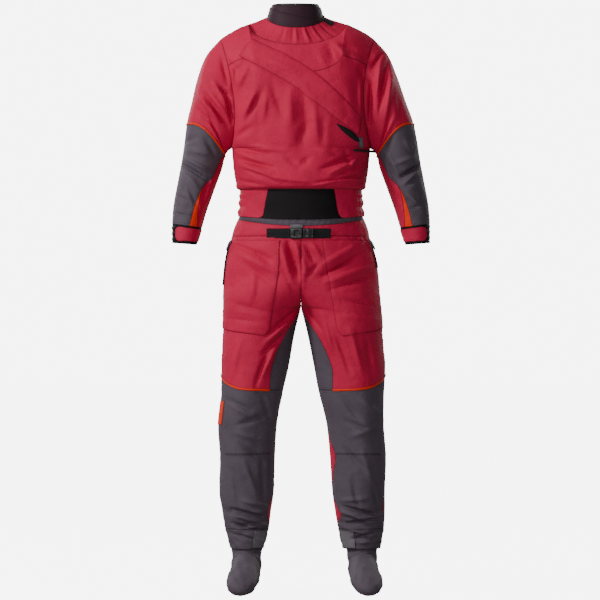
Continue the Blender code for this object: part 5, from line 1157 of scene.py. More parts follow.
def overskirt_cloth():
    """Black neoprene front and red ruffled sides of the overskirt."""
    steps = np.linspace(0, 1, OVER_ROWS)
    edge = np.radians(OVER_EDGE["top"] + OVER_EDGE["spread"] * steps)

    def facing(angle, t):
        return normals(over_form, angle, t, over_form(angle, t) * np.array([0.0, 0.0, 1.0]))

    under = edge + math.radians(OVER_EDGE["under"])
    t = np.linspace(0, 1, OVER_FRONT_POINTS)[None, :]
    u = -under[:, None] * (1 - t) + under[:, None] * t
    v = np.repeat(steps[:, None], OVER_FRONT_POINTS, axis=1)
    tucked = OVER_EDGE["tuck"] * ramp((np.abs(u) - edge[:, None]) / 0.02 + 1)
    normal = facing(u, v)
    panel("overskirt_front", over_form(u, v) - tucked[..., None] * normal, normal, "neoprene_black", 1.6,
          seed=8.0, sink=0.7, wave=0.3)
    low = ramp((steps - OVER_EDGE["corner_from"]) / (1 - OVER_EDGE["corner_from"]))
    corner = np.radians(OVER_EDGE["corner"]) * (1 - np.sqrt(1 - low ** 2))
    t = np.linspace(0, 1, OVER_SIDE_POINTS)[None, :]
    v = np.repeat(steps[:, None], OVER_SIDE_POINTS, axis=1)
    for side, tag in ((-1, "l"), (1, "r")):
        u = side * ((edge + corner)[:, None] * (1 - t) + math.pi * t)
        panel("overskirt_side_" + tag, over_form(u, v), facing(u, v), "shell_red", seed=8.0 + side,
              held="gathered")


def waist_cloth():
    """Overskirt, the waistband and the gusset that closes the room between them."""
    overskirt_cloth()
    around = np.arange(WAIST_POINTS) * 2 * math.pi / WAIST_POINTS
    top, bottom = waist_top(around), waist_bottom(around)
    out = outward(around)
    rows = []
    for t in np.linspace(0, 1, 16):
        soft = 0.8 * np.sin(around * 19 + 2.0) * np.sin(math.pi * t) * (0.4 + 0.6 * np.abs(np.sin(around)))
        rows.append(top * (1 - t) + bottom * t + out * (1.5 * math.sin(math.pi * t) + soft)[:, None])
    line = unit(outward(around, up=0.12))
    normal = np.repeat(line[None], len(rows), axis=0)
    panel("waistband", np.stack(rows), normal, "shell_red", ring=True, seed=2.0, wave=0.7, held="gathered")
    lip_z = top[:, 2] + 5.0 + 4.0 * np.abs(np.cos(around))
    lip = waist_surface(*GUSSET_LIP.values())(around, lip_z)
    tuck = waist_surface(*GUSSET_TOP.values())(around, np.full(around.shape, GUSSET_TOP_Z))
    rows = [tuck * (1 - t) + lip * t for t in np.linspace(0, 1, 10)]
    rows += [lip * (1 - t) + top * t for t in np.linspace(0, 1, 8)[1:]]
    gather = 0.7 * np.sin(around * 61)[None, :] * np.sin(np.linspace(0, math.pi, len(rows)))[:, None]
    outer = np.stack(rows) + gather[..., None] * out[None]
    normal = np.repeat(line[None], len(rows), axis=0)
    panel("waist_gusset", outer, normal, "shell_grey", ring=True, seed=3.0, wave=0.4, held="gathered")


def leg_piece(name, side, shares, stations, slot_name, **more):
    """One panel of a leg from arrays of shares and stations."""
    surface = leg_surface(side)
    wrapped = share_wrap(shares)
    close = np.clip(wrapped, -SEAM_SHARE, SEAM_SHARE)
    level, core = np.maximum(stations, 0.01), leg_core(side)(shares, stations)
    normal = normals(surface, close, level, core)
    if name.startswith("inner"):
        middle = shares.shape[1] // 2
        normal[:, middle] = unit(normal[:, middle] + normals(surface, -close, level, core)[:, middle])
    panel(name, surface(wrapped, stations), normal, slot_name, **more)


def knee_at(share):
    """Station of the knee seam, with the CAD's straight runs between columns smoothed."""
    return smooth(np.abs(share_wrap(share)), KNEE_SHARES, KNEE_STATIONS)


THIGH_POINTS, THIGH_ROWS = 57, 100
INNER_POINTS, INNER_ROWS = 33, 42
SHIN_POINTS, SHIN_ROWS = 61, 96
SHIN_TOP = 8.7
SHIN_EASE = 0.13
LEAST_SHARE_DRAWN = 1e-6


def thigh_cloth(side, tag):
    """Front and back of the thigh, down to the knee seam and in to the grey inner leg."""
    t = np.linspace(0, 1, THIGH_POINTS)
    for front in (True, False):
        shares, stations = [], []
        for step in np.linspace(0, 1, THIGH_ROWS):
            probe = KNEE * step
            edge = 1.0 if probe < CROTCH else float(read(GREY_EDGE, "share", probe))
            share = np.maximum(edge * t, LEAST_SHARE_DRAWN)
            bend = ramp((step - CROTCH / KNEE) / (1 - CROTCH / KNEE))
            shares.append(share)
            stations.append(probe + (knee_at(share) - KNEE) * bend)
        face = 1.0 if front else -1.0
        name = ("thigh_front_" if front else "thigh_back_") + tag
        leg_piece(name, side, face * np.array(shares), np.array(stations), "shell_red",
                  seed=2.0 + side + face, wave=0.9, held="hung")


def lower_leg_cloth(side, tag):
    """Grey shin and red calf, parted by seams that wander round the leg."""
    table = SHIN_LEFT if side < 0 else SHIN_RIGHT
    w = np.linspace(0, 1, SHIN_POINTS)
    for name, slot_name in (("shin_", "shell_grey"), ("calf_", "shell_red")):
        shares, stations = [], []
        for step in np.linspace(0, 1, SHIN_ROWS):
            probe = SHIN_TOP + (ANKLE - SHIN_TOP) * step
            start, stop = (float(read(table, seam, probe)) for seam in SHIN_HEAD[1:])
            ease = min(step / SHIN_EASE, 1.0)
            start, stop = start * ease, 1.0 + (stop - 1.0) * ease
            if name == "calf_":
                start, stop = stop, 2.0 + start
            share = np.maximum(start * (1 - w) + stop * w, -0.9)
            knee = knee_at(share)
            shares.append(share)
            stations.append(knee + (ANKLE - knee) * step)
        leg_piece(name + tag, side, np.array(shares), np.array(stations), slot_name, seed=4.0 + side,
                  wave=0.7, held="hung")


def leg_cloth(side, tag):
    """All panels of one leg, with the ankle tab and the knee piping sewn on them."""
    thigh_cloth(side, tag)
    steps = np.linspace(0, 1, INNER_ROWS)
    probe = CROTCH + (KNEE - CROTCH) * steps
    edge = read(GREY_EDGE, "share", probe)[:, None]
    w = np.linspace(0, 1, INNER_POINTS)[None, :]
    shares = edge * (1 - w) + (2 - edge) * w
    stations = CROTCH + (knee_at(shares) - CROTCH) * steps[:, None]
    leg_piece("inner_leg_" + tag, side, shares, stations, "shell_grey", seed=6.0 + side, wave=0.5)
    lower_leg_cloth(side, tag)
    surface, core = leg_surface(side), leg_core(side)
    around = np.linspace(-1, 1, 145)[:-1] + OFF_SEAM
    u, v = grid(around, np.linspace(ANKLE, LEG_END, 26))
    normal = normals(surface, u, v, core(u, v))
    soft = 1.3 * np.sin(u * 17 + 9 * v) * np.sin((v - ANKLE) * math.pi) + 0.8 * np.sin(u * 31 - 12 * v)
    panel("ankle_cuff_" + tag, surface(u, v) + (soft * 0.7)[..., None] * normal, normal, "shell_grey", 1.4,
          ring=True, seed=5.0, wave=0.5, held="gathered")
    u, v = grid(np.linspace(0.60, 0.88, 17), np.linspace(14.08, 14.95, 15))
    normal = normals(surface, u, v, core(u, v))
    panel("ankle_tab_" + tag, surface(u, v) + 2.2 * normal, normal, "strap_grey", seed=3.0, sink=0.6,
          wave=0.2, held="laid", rests=["ankle_cuff_" + tag])
    sock_cloth(side, tag)
    knee = np.linspace(0.0, float(edge[-1, 0]), 97)
    level = knee_at(knee)
    line = normals(surface, np.clip(knee, STEP, SEAM_SHARE), level, core(knee, level))
    above, seam, below = (surface(knee, level + step) for step in (-0.05, 0.0, 0.05))
    piping("knee_piping_" + tag, above, seam, below, line, False)


SOCK_TIP = 8.0
TOE_LINE = np.array([0.0, -0.91, -0.41])


def sock_cloth(side, tag):
    """Sock from the ankle cuff to the closed toe, with small wrinkles over the instep."""
    surface = sock_surface(side)
    around = np.arange(96) * 2 * math.pi / 96
    u, v = grid(around, np.concatenate((np.linspace(0.0, 7.4, 74), np.linspace(7.48, SOCK_TIP, 10))))
    outer = surface(u, v)
    core = np.repeat(outer.mean(axis=1, keepdims=True), outer.shape[1], axis=1)
    normal = normals(surface, u, np.clip(v, 0.02, 7.9), core)
    normal[0] = unit((outer[0] - core[0]) * np.array([1.0, 1.0, 0.0]))
    normal[-1] = TOE_LINE
    calm = between(v, (0.0, 0.8, 7.4, 1.2))
    instep = 0.35 + 0.65 * np.exp(-((v - 2.2) / 1.3) ** 2)
    wrinkle = 1.5 * np.sin(v * 4.6 + 1.3 * np.sin(2 * u + side) + side) * instep
    wrinkle = wrinkle + 0.8 * np.sin(5 * u + 2.2 * v) * np.sin(1.1 * v + 2)
    wrinkle = wrinkle + 0.6 * np.sin(9 * u - 3.1 * v + side)
    panel("sock_" + tag, outer + (wrinkle * calm)[..., None] * normal, normal, "shell_grey", 1.1, ring=True,
          tip=True, seed=7.0, sink=0.2, wave=0.2, ends=(True, False))


def pocket_point(side, row, column):
    """Point and outward line on the front of the thigh by the CAD's row and column numbers."""
    station = np.interp(row, np.arange(len(THIGH_LEVELS)), THIGH_LEVELS)
    low = np.maximum(station, CROTCH)
    edge = np.where(station < CROTCH, 1.0, read(GREY_EDGE, "share", low))
    share = np.clip(column / LEG_COLUMNS * edge, 0.004, SEAM_SHARE)
    surface = leg_surface(side)
    level = station + (knee_at(share) - KNEE) * ramp((station - CROTCH) / (KNEE - CROTCH))
    return surface(share, level), normals(surface, share, level, leg_core(side)(share, level))


POCKET_SEAM_Z = (-843.0, -835.0, -818.0, -756.0, -667.0, -583.0)
POCKET_SEAM_X = {-1: (122.0, 98.0, 83.0, 75.6, 60.8, 56.7), 1: (130.0, 107.0, 96.0, 86.4, 70.2, 56.7)}


SEAM_PROBES = 80


def pocket_seam(side, level):
    """Column of the pocket's inner seam at each level of the leg, from how far it is from the middle."""
    column = np.linspace(1.0, LEG_COLUMNS - 0.3, SEAM_PROBES)[None]
    point, _ = pocket_point(side, np.repeat(level[:, None], SEAM_PROBES, axis=1),
                            np.repeat(column, len(level), axis=0))
    short = np.interp(point[..., 2], POCKET_SEAM_Z, POCKET_SEAM_X[side]) - np.abs(point[..., 0])
    return np.array([np.interp(0.0, np.maximum.accumulate(row), column[0]) for row in short])


POCKET_LIFT, POCKET_SWELL, POCKET_DROOP, POCKET_CORNER = 2.7, 1.2, 2.6, 6
POCKET_ZIPS = {-1: (0.3, 4.3), 1: (0.2, 3.2)}
POCKET_ZIP_RIDGE = np.array([0.0, 0.5, 0.3, 0.9, 0.3, 0.5, 0.0])
POCKET_ZIP_LIFT = 6.4


def pocket_cloth(side, tag):
    """Bellows thigh pocket with rounded lower corners, its zip tape and coil."""
    rows = np.linspace(POCKET["top"], POCKET["bottom"], 72)
    down = (rows - POCKET["top"]) / (POCKET["bottom"] - POCKET["top"])
    inner = pocket_seam(side, rows + POCKET["belly"] * down ** 2)
    w = np.linspace(0, 1, 53)[None, :]
    columns = POCKET["outer"] * (1 - w) + inner[:, None] * w
    levels = rows[:, None] + POCKET["belly"] * w * down[:, None] ** 2
    point, line = pocket_point(side, levels, columns)
    middle = np.sin(math.pi * w)
    height = ramp(middle * POCKET_CORNER) * ramp(np.sin(math.pi * down)[:, None] * POCKET_CORNER)
    droop = POCKET_DROOP * np.exp(-((rows[:, None] - 6.2) / 1.5) ** 2) * np.maximum(middle, 0.0) ** 0.8
    soft = 0.8 * np.sin(levels * 2.3 + 5 * w + side) * middle
    lift = POCKET_LIFT + POCKET_SWELL * height + droop + soft * height
    panel("thigh_pocket_" + tag, point + lift[..., None] * line, line, "shell_red", 1.0, seed=5.0 + side,
          sink=1.1, wave=0.8, held="hung", rests=["thigh_front_" + tag])
    pocket_zip(side, tag, rows, inner)


def pocket_zip(side, tag, rows, inner):
    """Tape and coil of the pocket's zip, slanting down along the pocket's outer half."""
    track = np.linspace(*POCKET_ZIPS[side], 60)
    row = np.interp(track, np.arange(len(POCKET_ROWS)), POCKET_ROWS)
    centre = (1.25 - 0.17 * track) / 6.0
    column = POCKET["outer"] + centre * (np.interp(row, rows, inner) - POCKET["outer"])
    across = column[:, None] + np.linspace(-0.13, 0.13, len(POCKET_ZIP_RIDGE))[None]
    point, line = pocket_point(side, np.repeat(row[:, None], len(POCKET_ZIP_RIDGE), axis=1), across)
    outer = point + (POCKET_ZIP_LIFT + POCKET_ZIP_RIDGE)[None, :, None] * line
    cloth("pocket_zip_" + tag + "_tape", outer, line, 1.0, "zip_black", node="pocket_zip_" + tag)
    coil("pocket_zip_" + tag + "_coil", outer[:, 3] + 0.6 * line[:, 3], line[:, 3], 2.6, 1.1)


TOOTH_PITCH = 2.1
COIL_SHELL = 0.25


def coil(name, seam, out, width, tall):
    """Zip coil: a row of low rounded teeth across the tape, one about every two millimetres."""
    run = lengths(seam[:, None], 0)[:, 0]
    count = max(int(run[-1] / TOOTH_PITCH), 4)
    at = np.linspace(run[0], run[-1], count * 8 + 1)
    centre = np.stack([np.interp(at, run, seam[:, k]) for k in range(3)], axis=-1)
    line = np.stack([np.interp(at, run, out[:, k]) for k in range(3)], axis=-1)
    along = np.gradient(centre, axis=0)
    across = np.cross(unit(along), line)
    swell = 0.62 + 0.38 * np.abs(np.sin(at / TOOTH_PITCH * math.pi))
    turn = np.linspace(0, 2 * math.pi, 9)[:-1]
    ring = (across[:, None] * (np.cos(turn)[None, :, None] * width * 0.5)
            + line[:, None] * (np.sin(turn)[None, :, None] * tall * 0.5)) * swell[:, None, None]
    cloth(name, centre[:, None] + ring, unit(ring), COIL_SHELL, "zip_black", ring=True)


FLAP_POINTS, FLAP_SPANS = 110, 20
ZIP_POINTS, ZIP_SPANS = 60, 8
ZIP_ACROSS = np.array((0.55, 0.83))
STRAP = {"x": 153.0, "width": 11.0, "slant": 2.0, "top": -303.0, "bottom": -330.0}
BAR_MIDDLE = (160.5, -338.5)
BAR_LIFT = 6.8


def along_table(head, rows, count):
    """Columns of a table read smoothly at a number of even places, with the places themselves."""
    table = named(head, rows)
    knots = np.arange(len(rows), dtype=float)
    at = np.linspace(0, knots[-1], count)
    return at, [smooth(at, knots, table[name]) for name in head]


def chest_cloth():
    """Diagonal zip flap with its lens opening, the end of the entry zip, the strap and the T bar."""
    surface = trunk_surface(True)
    u, v = grid(np.linspace(-0.98, 0.98, 74), np.linspace(-0.6, 0.95, 90))
    outer = surface(u, v)
    base = front_base(outer, normals(surface, u, np.minimum(v, EDGE_ROW), outer * CORE_SHARE))
    flap_cloth(base)
    _, (x, z, half) = along_table(ZIP_HEAD, ZIP_ROWS, ZIP_POINTS)
    centre = np.stack((x, z), axis=1)
    wide = ZIP_ACROSS * half[:, None]
    point, line = base(*strip_between(centre + wide, centre - wide, ZIP_SPANS))
    outer = point + 2.4 * line
    cloth("entry_zip_tape", outer, line, 1.0, "zip_black", node="entry_zip")
    coil("entry_zip_coil", outer[4] + 0.9 * line[4], line[4], 5.0, 2.0)
    t = np.linspace(0, 1, 24)[:, None]
    x = np.linspace(0, 1, 9)[None] * STRAP["width"] + STRAP["x"] + STRAP["slant"] * t
    z = np.repeat(STRAP["top"] + (STRAP["bottom"] - STRAP["top"]) * t, 9, axis=1)
    point, line = base(x, z)
    outer = point + (2.4 + 0.5 * np.sin((z - STRAP["top"]) / 7.0))[..., None] * line
    cloth("zip_strap_webbing", outer, line, 1.3, "strap_grey", node="zip_strap")
    spots = BAR_MIDDLE[0] + np.linspace(-0.5, 0.5, 37) * BAR["length"]
    point, line = base(spots, np.full(spots.shape, BAR_MIDDLE[1]))
    straight, line = smooth_run(point), smooth_run(line)
    rise = np.max(np.sum((point - straight) * line, axis=-1))
    tube("zip_t_bar_moulded", straight + (BAR_LIFT + rise) * line, line, BAR["thick"], BAR["deep"],
         "buckle_plastic", "zip_t_bar")


def flap_cloth(base):
    """Flap over the zip, rolled along its lower edge."""
    at, (upper_x, upper_z, lower_x, lower_z) = along_table(FLAP_HEAD, FLAP_ROWS, FLAP_POINTS)
    upper, lower = np.stack((upper_x, upper_z), axis=1), np.stack((lower_x, lower_z), axis=1)
    point, line = base(*strip_between(upper, lower, FLAP_SPANS))
    w = np.linspace(0, 1, FLAP_SPANS + 1)[:, None]
    roll = 3.6 * np.sin(math.pi * ramp(w * 1.02)) ** 0.5 + 1.6 * w
    soft = 1.1 * np.sin(at / 3.1 + 4 * w) * np.sin(math.pi * w) + 0.7 * np.sin(at * 1.9 - 3 * w) * w
    panel("zip_flap", point + (2.0 + roll + soft)[..., None] * line, line, "shell_red", 1.3, seed=3.0,
          wave=0.6, held="laid", rests=["chest_front"])


def smooth_run(values):
    """Straight line through a run of points, so that a hard bar stays straight on soft cloth."""
    t = np.linspace(0, 1, len(values))[:, None]
    return values[:1] * (1 - t) + values[-1:] * t


BAR_SHELL = 0.15
BAR_WAIST = 0.08


def tube(name, centre, line, thick, deep, slot_name, node, rounding=0.42):
    """Hard bar along a line with a superellipse section, drawn in at its ends and slightly waisted."""
    along = unit(np.gradient(centre, axis=0))
    line = unit(line - np.sum(line * along, axis=-1, keepdims=True) * along)
    up = np.cross(along, line)
    t = np.linspace(-1, 1, len(centre))
    size = ramp(1 - np.abs(t) ** 14) ** 0.5 * (1 - BAR_WAIST + BAR_WAIST * np.cos(t * math.pi * 3))
    size = np.maximum(size, 0.02)
    turn = np.linspace(0, 2 * math.pi, 25)[:-1]
    c, s = (np.sign(part) * np.abs(part) ** rounding for part in (np.cos(turn), np.sin(turn)))
    ring = line[:, None] * (c[None, :, None] * deep * 0.5) + up[:, None] * (s[None, :, None] * thick * 0.5)
    cloth(name, centre[:, None] + ring * size[:, None, None], unit(ring), BAR_SHELL, slot_name, ring=True,
          node=node)


def plate(name, at, x0, x1, z0, z1, low, high, node, holes=(), ribs=0, rise=0.0):
    """Moulded plate on the belt: rounded corners, edges rolled to the back, with ribs or sunk windows."""
    s = np.linspace(-1, 1, 61)[None, :]
    t = np.linspace(-1, 1, 45)[:, None]
    bulge_x, bulge_z = (np.sqrt(ramp(1 - np.abs(part) ** 7)) * 0.06 + 0.94 for part in (t, s))
    x = 0.5 * (x0 + x1) + 0.5 * (x1 - x0) * s * bulge_x
    z = 0.5 * (z0 + z1) - 0.5 * (z1 - z0) * t * bulge_z
    edge = (1 - np.abs(s) ** 18) * (1 - np.abs(t) ** 14)
    height = low + (high - low) * ramp(edge) ** 0.5
    for across, up, half_width, half_height, sunk in holes:
        inside = np.abs((s - across) / half_width) ** 6 + np.abs((t - up) / half_height) ** 6
        height = height - sunk * np.exp(-inside)
    height = height + rise * np.cos(s * math.pi * ribs) * edge
    point, line = at(x, z)
    cloth(name, point + height[..., None] * line, line, SHELL_WALL, "buckle_plastic", node=node)


def belt_at(x, z):
    """Point and outward line on the waistband's middle by x and z."""
    x, z = np.broadcast_arrays(np.asarray(x, float), np.asarray(z, float))
    around = np.arcsin(np.clip(x / (WAIST_TOP["half"] * 1.015), -1, 1)).reshape(-1)
    top, bottom = waist_top(around), waist_bottom(around)
    t = np.clip((top[:, 2] - z.reshape(-1)) / (top[:, 2] - bottom[:, 2]), -0.3, 1.3)
    y = top[:, 1] * (1 - t) + bottom[:, 1] * t
    bulge = 1.5 * np.sin(math.pi * ramp(t)) + 0.8
    line = unit(outward(around, 0.8, 1.0, 0.05))
    point = stack(x.reshape(-1), y, z.reshape(-1)) + bulge[:, None] * line
    return point.reshape(*x.shape, 3), line.reshape(*x.shape, 3)


BELT = {"top": -548.5, "bottom": -575.0, "rib": 4.2, "rib_height": 0.45, "lift": 2.3}
BELT_SIDES = {"l": (-90.0, -27.0), "r": (32.0, 78.0)}
# Windows of the buckle's halves: place across and up, half width and height as shares, and depth.
SOCKET_WINDOWS = ((0.1, 0.0, 0.42, 0.5, 2.4),)
CLIP_WINDOWS = ((-0.45, 0.0, 0.16, 0.55, 1.6), (0.62, 0.0, 0.12, 0.72, 2.2))


def belt_cloth():
    """Ribbed belt webbing on both sides of the buckle, and the buckle's two halves."""
    for tag, (x0, x1) in BELT_SIDES.items():
        x, z = grid(np.linspace(x0, x1, 121), np.linspace(BELT["top"], BELT["bottom"], 15))
        point, line = belt_at(x, z)
        rib = BELT["rib_height"] * np.cos((x - x0) * 2 * math.pi / BELT["rib"])
        name = "belt_webbing_" + tag
        outer = point + (BELT["lift"] + rib)[..., None] * line
        cloth(name + "_ribbed", outer, line, SHELL_WALL, "webbing_black", node=name)
    plate("buckle_socket_moulded", belt_at, -28.5, 4.4, -577.0, -546.0, 3.2, 10.6, "buckle_socket",
          holes=SOCKET_WINDOWS)
    plate("buckle_clip_moulded", belt_at, 4.8, 32.5, -575.0, -548.0, 3.2, 9.4, "buckle_clip",
          holes=CLIP_WINDOWS, ribs=2, rise=0.4)


SLIDER = {"from": -5.5, "to": 5.0, "below": 2.6, "thick": 7.4, "deep": 2.8, "rounding": 0.6, "points": 31}


def slider(tag):
    """Slider body under a pocket zip's pull tab, at the CAD hinge and along the tab."""
    joint = [j for j in frame["joints"] if j["name"] == "pocket_pull_" + tag][0]
    hinge = np.array(joint["pos_m"], float) / MM
    low, high = (np.array(x, float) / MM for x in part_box("pull_tab_" + tag))
    along = unit(0.5 * (low + high) - hinge)
    line = np.cross(np.array(joint["axis"], float), along)
    line = unit(line * -np.sign(line[1]))
    t = np.linspace(SLIDER["from"], SLIDER["to"], SLIDER["points"])[:, None]
    centre = hinge + along * t - line * SLIDER["below"]
    tube("pocket_slider_" + tag, centre, np.repeat(line[None], len(t), axis=0), SLIDER["thick"],
         SLIDER["deep"], "strap_grey", None, SLIDER["rounding"])


LOOP = {"x": (-30.0, 5.0), "z": (-536.5, -549.0), "lift": 2.6, "wave": 0.8}
SHIN_SEAM = {"share": (0.22, 0.80), "station": (10.86, 10.90), "slant": 0.03, "lift": 1.3}
KNEE_PATCH = {"share": (0.02, 0.17), "station": (9.15, 9.95), "slant": 0.05, "slant_from": 9.6, "lift": 1.4}
TAPE_SHELL = 0.9


def tape_on_leg(name, side, share, station, lift, slot_name):
    """Thin tape laid on a leg's panels."""
    surface = leg_surface(side)
    normal = normals(surface, share, station, leg_core(side)(share, station))
    cloth(name, surface(share, station) + lift * normal, normal, TAPE_SHELL, slot_name)


def small_trim():
    """Trim too small for a solid: belt loop, felled seams across the shins and left knee patch."""
    x, z = grid(np.linspace(*LOOP["x"], 41), np.linspace(*LOOP["z"], 13))
    point, line = belt_at(x, z)
    soft = LOOP["lift"] + LOOP["wave"] * np.sin(x / 5.0) * np.sin((z + 536) / 4.0)
    cloth("belt_loop_webbing", point + soft[..., None] * line, line, SHELL_WALL, "strap_grey")
    for side, tag in ((-1, "l"), (1, "r")):
        share, station = grid(np.linspace(*SHIN_SEAM["share"], 60), np.linspace(*SHIN_SEAM["station"], 5))
        station = station + SHIN_SEAM["slant"] * (share - 0.5)
        tape_on_leg("shin_seam_" + tag + "_tape", side, share, station, SHIN_SEAM["lift"], "shell_grey")
    share, station = grid(np.linspace(*KNEE_PATCH["share"], 15), np.linspace(*KNEE_PATCH["station"], 34))
    share = share - KNEE_PATCH["slant"] * ramp(station - KNEE_PATCH["slant_from"])
    tape_on_leg("knee_patch_l_cloth", -1, share, station, KNEE_PATCH["lift"], "trim_orange")


FINISHES = {}
# A cloth's shade colour is its darker tone, mixed in at random and as painted shade at the seams.
CLOTH_HEAD = ("colour", "shade", "rough", "sheen", "weave", "weave_deep", "crumple", "stitch")
CLOTHS = {
    "shell_red": ((0.50, 0.012, 0.055), (0.25, 0.004, 0.022), 0.60, 0.03, 0.0009, 0.10, 0.42,
                  (0.34, 0.012, 0.04)),
    "shell_grey": ((0.090, 0.070, 0.090), (0.044, 0.034, 0.044), 0.64, 0.02, 0.0011, 0.14, 0.42,
                   (0.03, 0.026, 0.032)),
    "trim_orange": ((0.78, 0.030, 0.005), (0.42, 0.016, 0.003), 0.50, 0.04, 0.0010, 0.12, 0.15,
                    (0.30, 0.012, 0.004)),
    "neoprene_black": ((0.0055, 0.004, 0.005), (0.003, 0.002, 0.0025), 0.58, 0.03, 0.0014, 0.10, 0.12,
                       (0.02, 0.018, 0.02)),
    "collar_plum": ((0.036, 0.014, 0.023), (0.018, 0.007, 0.012), 0.55, 0.10, 0.0013, 0.10, 0.12,
                    (0.02, 0.012, 0.016)),
    "webbing_black": ((0.016, 0.015, 0.017), (0.006, 0.006, 0.007), 0.66, 0.04, 0.0021, 0.35, 0.05,
                      (0.03, 0.03, 0.03)),
    "strap_grey": ((0.15, 0.135, 0.152), (0.08, 0.07, 0.08), 0.62, 0.04, 0.0018, 0.30, 0.08,
                   (0.03, 0.026, 0.03)),
    "zip_black": ((0.014, 0.012, 0.014), (0.006, 0.005, 0.006), 0.50, 0.1, 0.0008, 0.15, 0.03,
                  (0.02, 0.02, 0.02)),
}
# Colour and roughness of the hard and rubber pieces.
PLASTICS = {"gasket_rubber": ((0.014, 0.012, 0.013), 0.42), "buckle_plastic": ((0.012, 0.012, 0.013), 0.34)}
PULL_TAB_LOOK = ((0.09, 0.078, 0.09), 0.5)


class Tree:
    """Small helper that adds shader nodes and joins them."""

    def __init__(self, name):
        self.material = bpy.data.materials.new(name)
        self.material.use_nodes = True
        self.tree = self.material.node_tree
        self.tree.nodes.clear()

    def add(self, kind, values=(), **facts):
        node = self.tree.nodes.new(kind)
        for key, value in facts.items():
            setattr(node, key, value)
        for key, value in dict(values).items():
            self.put(node.inputs[key], value)
        return node

    def put(self, socket, value):
        if isinstance(value, bpy.types.NodeSocket):
            self.tree.links.new(value, socket)
        else:
            socket.default_value = value

    def math(self, operation, a, b=0.0, c=0.0, clamp=False):
        node = self.add("ShaderNodeMath", operation=operation, use_clamp=clamp)
        for k, value in enumerate((a, b, c)):
            self.put(node.inputs[k], value)
        return node.outputs[0]

    def mix(self, share, one, two):
        node = self.add("ShaderNodeMix", data_type="RGBA")
        self.put(node.inputs["Factor"], share)
        for key, value in (("A", one), ("B", two)):
            socket = [s for s in node.inputs if s.name == key and s.type == "RGBA"][0]
            self.put(socket, value if isinstance(value, bpy.types.NodeSocket) else (*value, 1.0))
        return [s for s in node.outputs if s.type == "RGBA"][0]

    def noise(self, where, scale, detail=2.0, rough=0.5):
        node = self.add("ShaderNodeTexNoise", {"Vector": where, "Scale": scale, "Detail": detail,
                                               "Roughness": rough})
        return node.outputs["Fac"]

    def folded(self, where, scale):
        """Height with sharp valleys where noise crosses its middle, as in cloth folded and opened."""
        return self.math("ABSOLUTE", self.math("SUBTRACT", self.noise(where, scale, 1.5, 0.4), 0.5))

    def bump(self, height, strength, distance, under=None):
        node = self.add("ShaderNodeBump", {"Strength": strength, "Distance": distance, "Height": height})
        if under is not None:
            self.put(node.inputs["Normal"], under)
        return node.outputs["Normal"]

    def done(self, shader):
        out = self.add("ShaderNodeOutputMaterial")
        self.tree.links.new(shader, out.inputs["Surface"])
        return self.material


def stitches(tree, run, far, gap=0.0062, pitch=0.0036):
    """Dashes of thread along a line at one distance from a sewn edge: 1 on the thread, 0 off it."""
    off = tree.math("ABSOLUTE", tree.math("SUBTRACT", far, gap))
    on = tree.math("SUBTRACT", 1.0, tree.math("DIVIDE", off, 0.0007), clamp=True)
    wave = tree.math("SINE", tree.math("MULTIPLY", run, 2 * math.pi / pitch))
    dash = tree.math("ADD", tree.math("MULTIPLY", wave, 2.0), 1.2, clamp=True)
    return tree.math("MULTIPLY", on, dash)


# Darkness of the painted shade in the gap at panel edges, as a share of the shade colour, and how strongly
# it and the stitches show.
SEAM_GAP_SHADE, SEAM_SHOWS = 0.3, 0.85


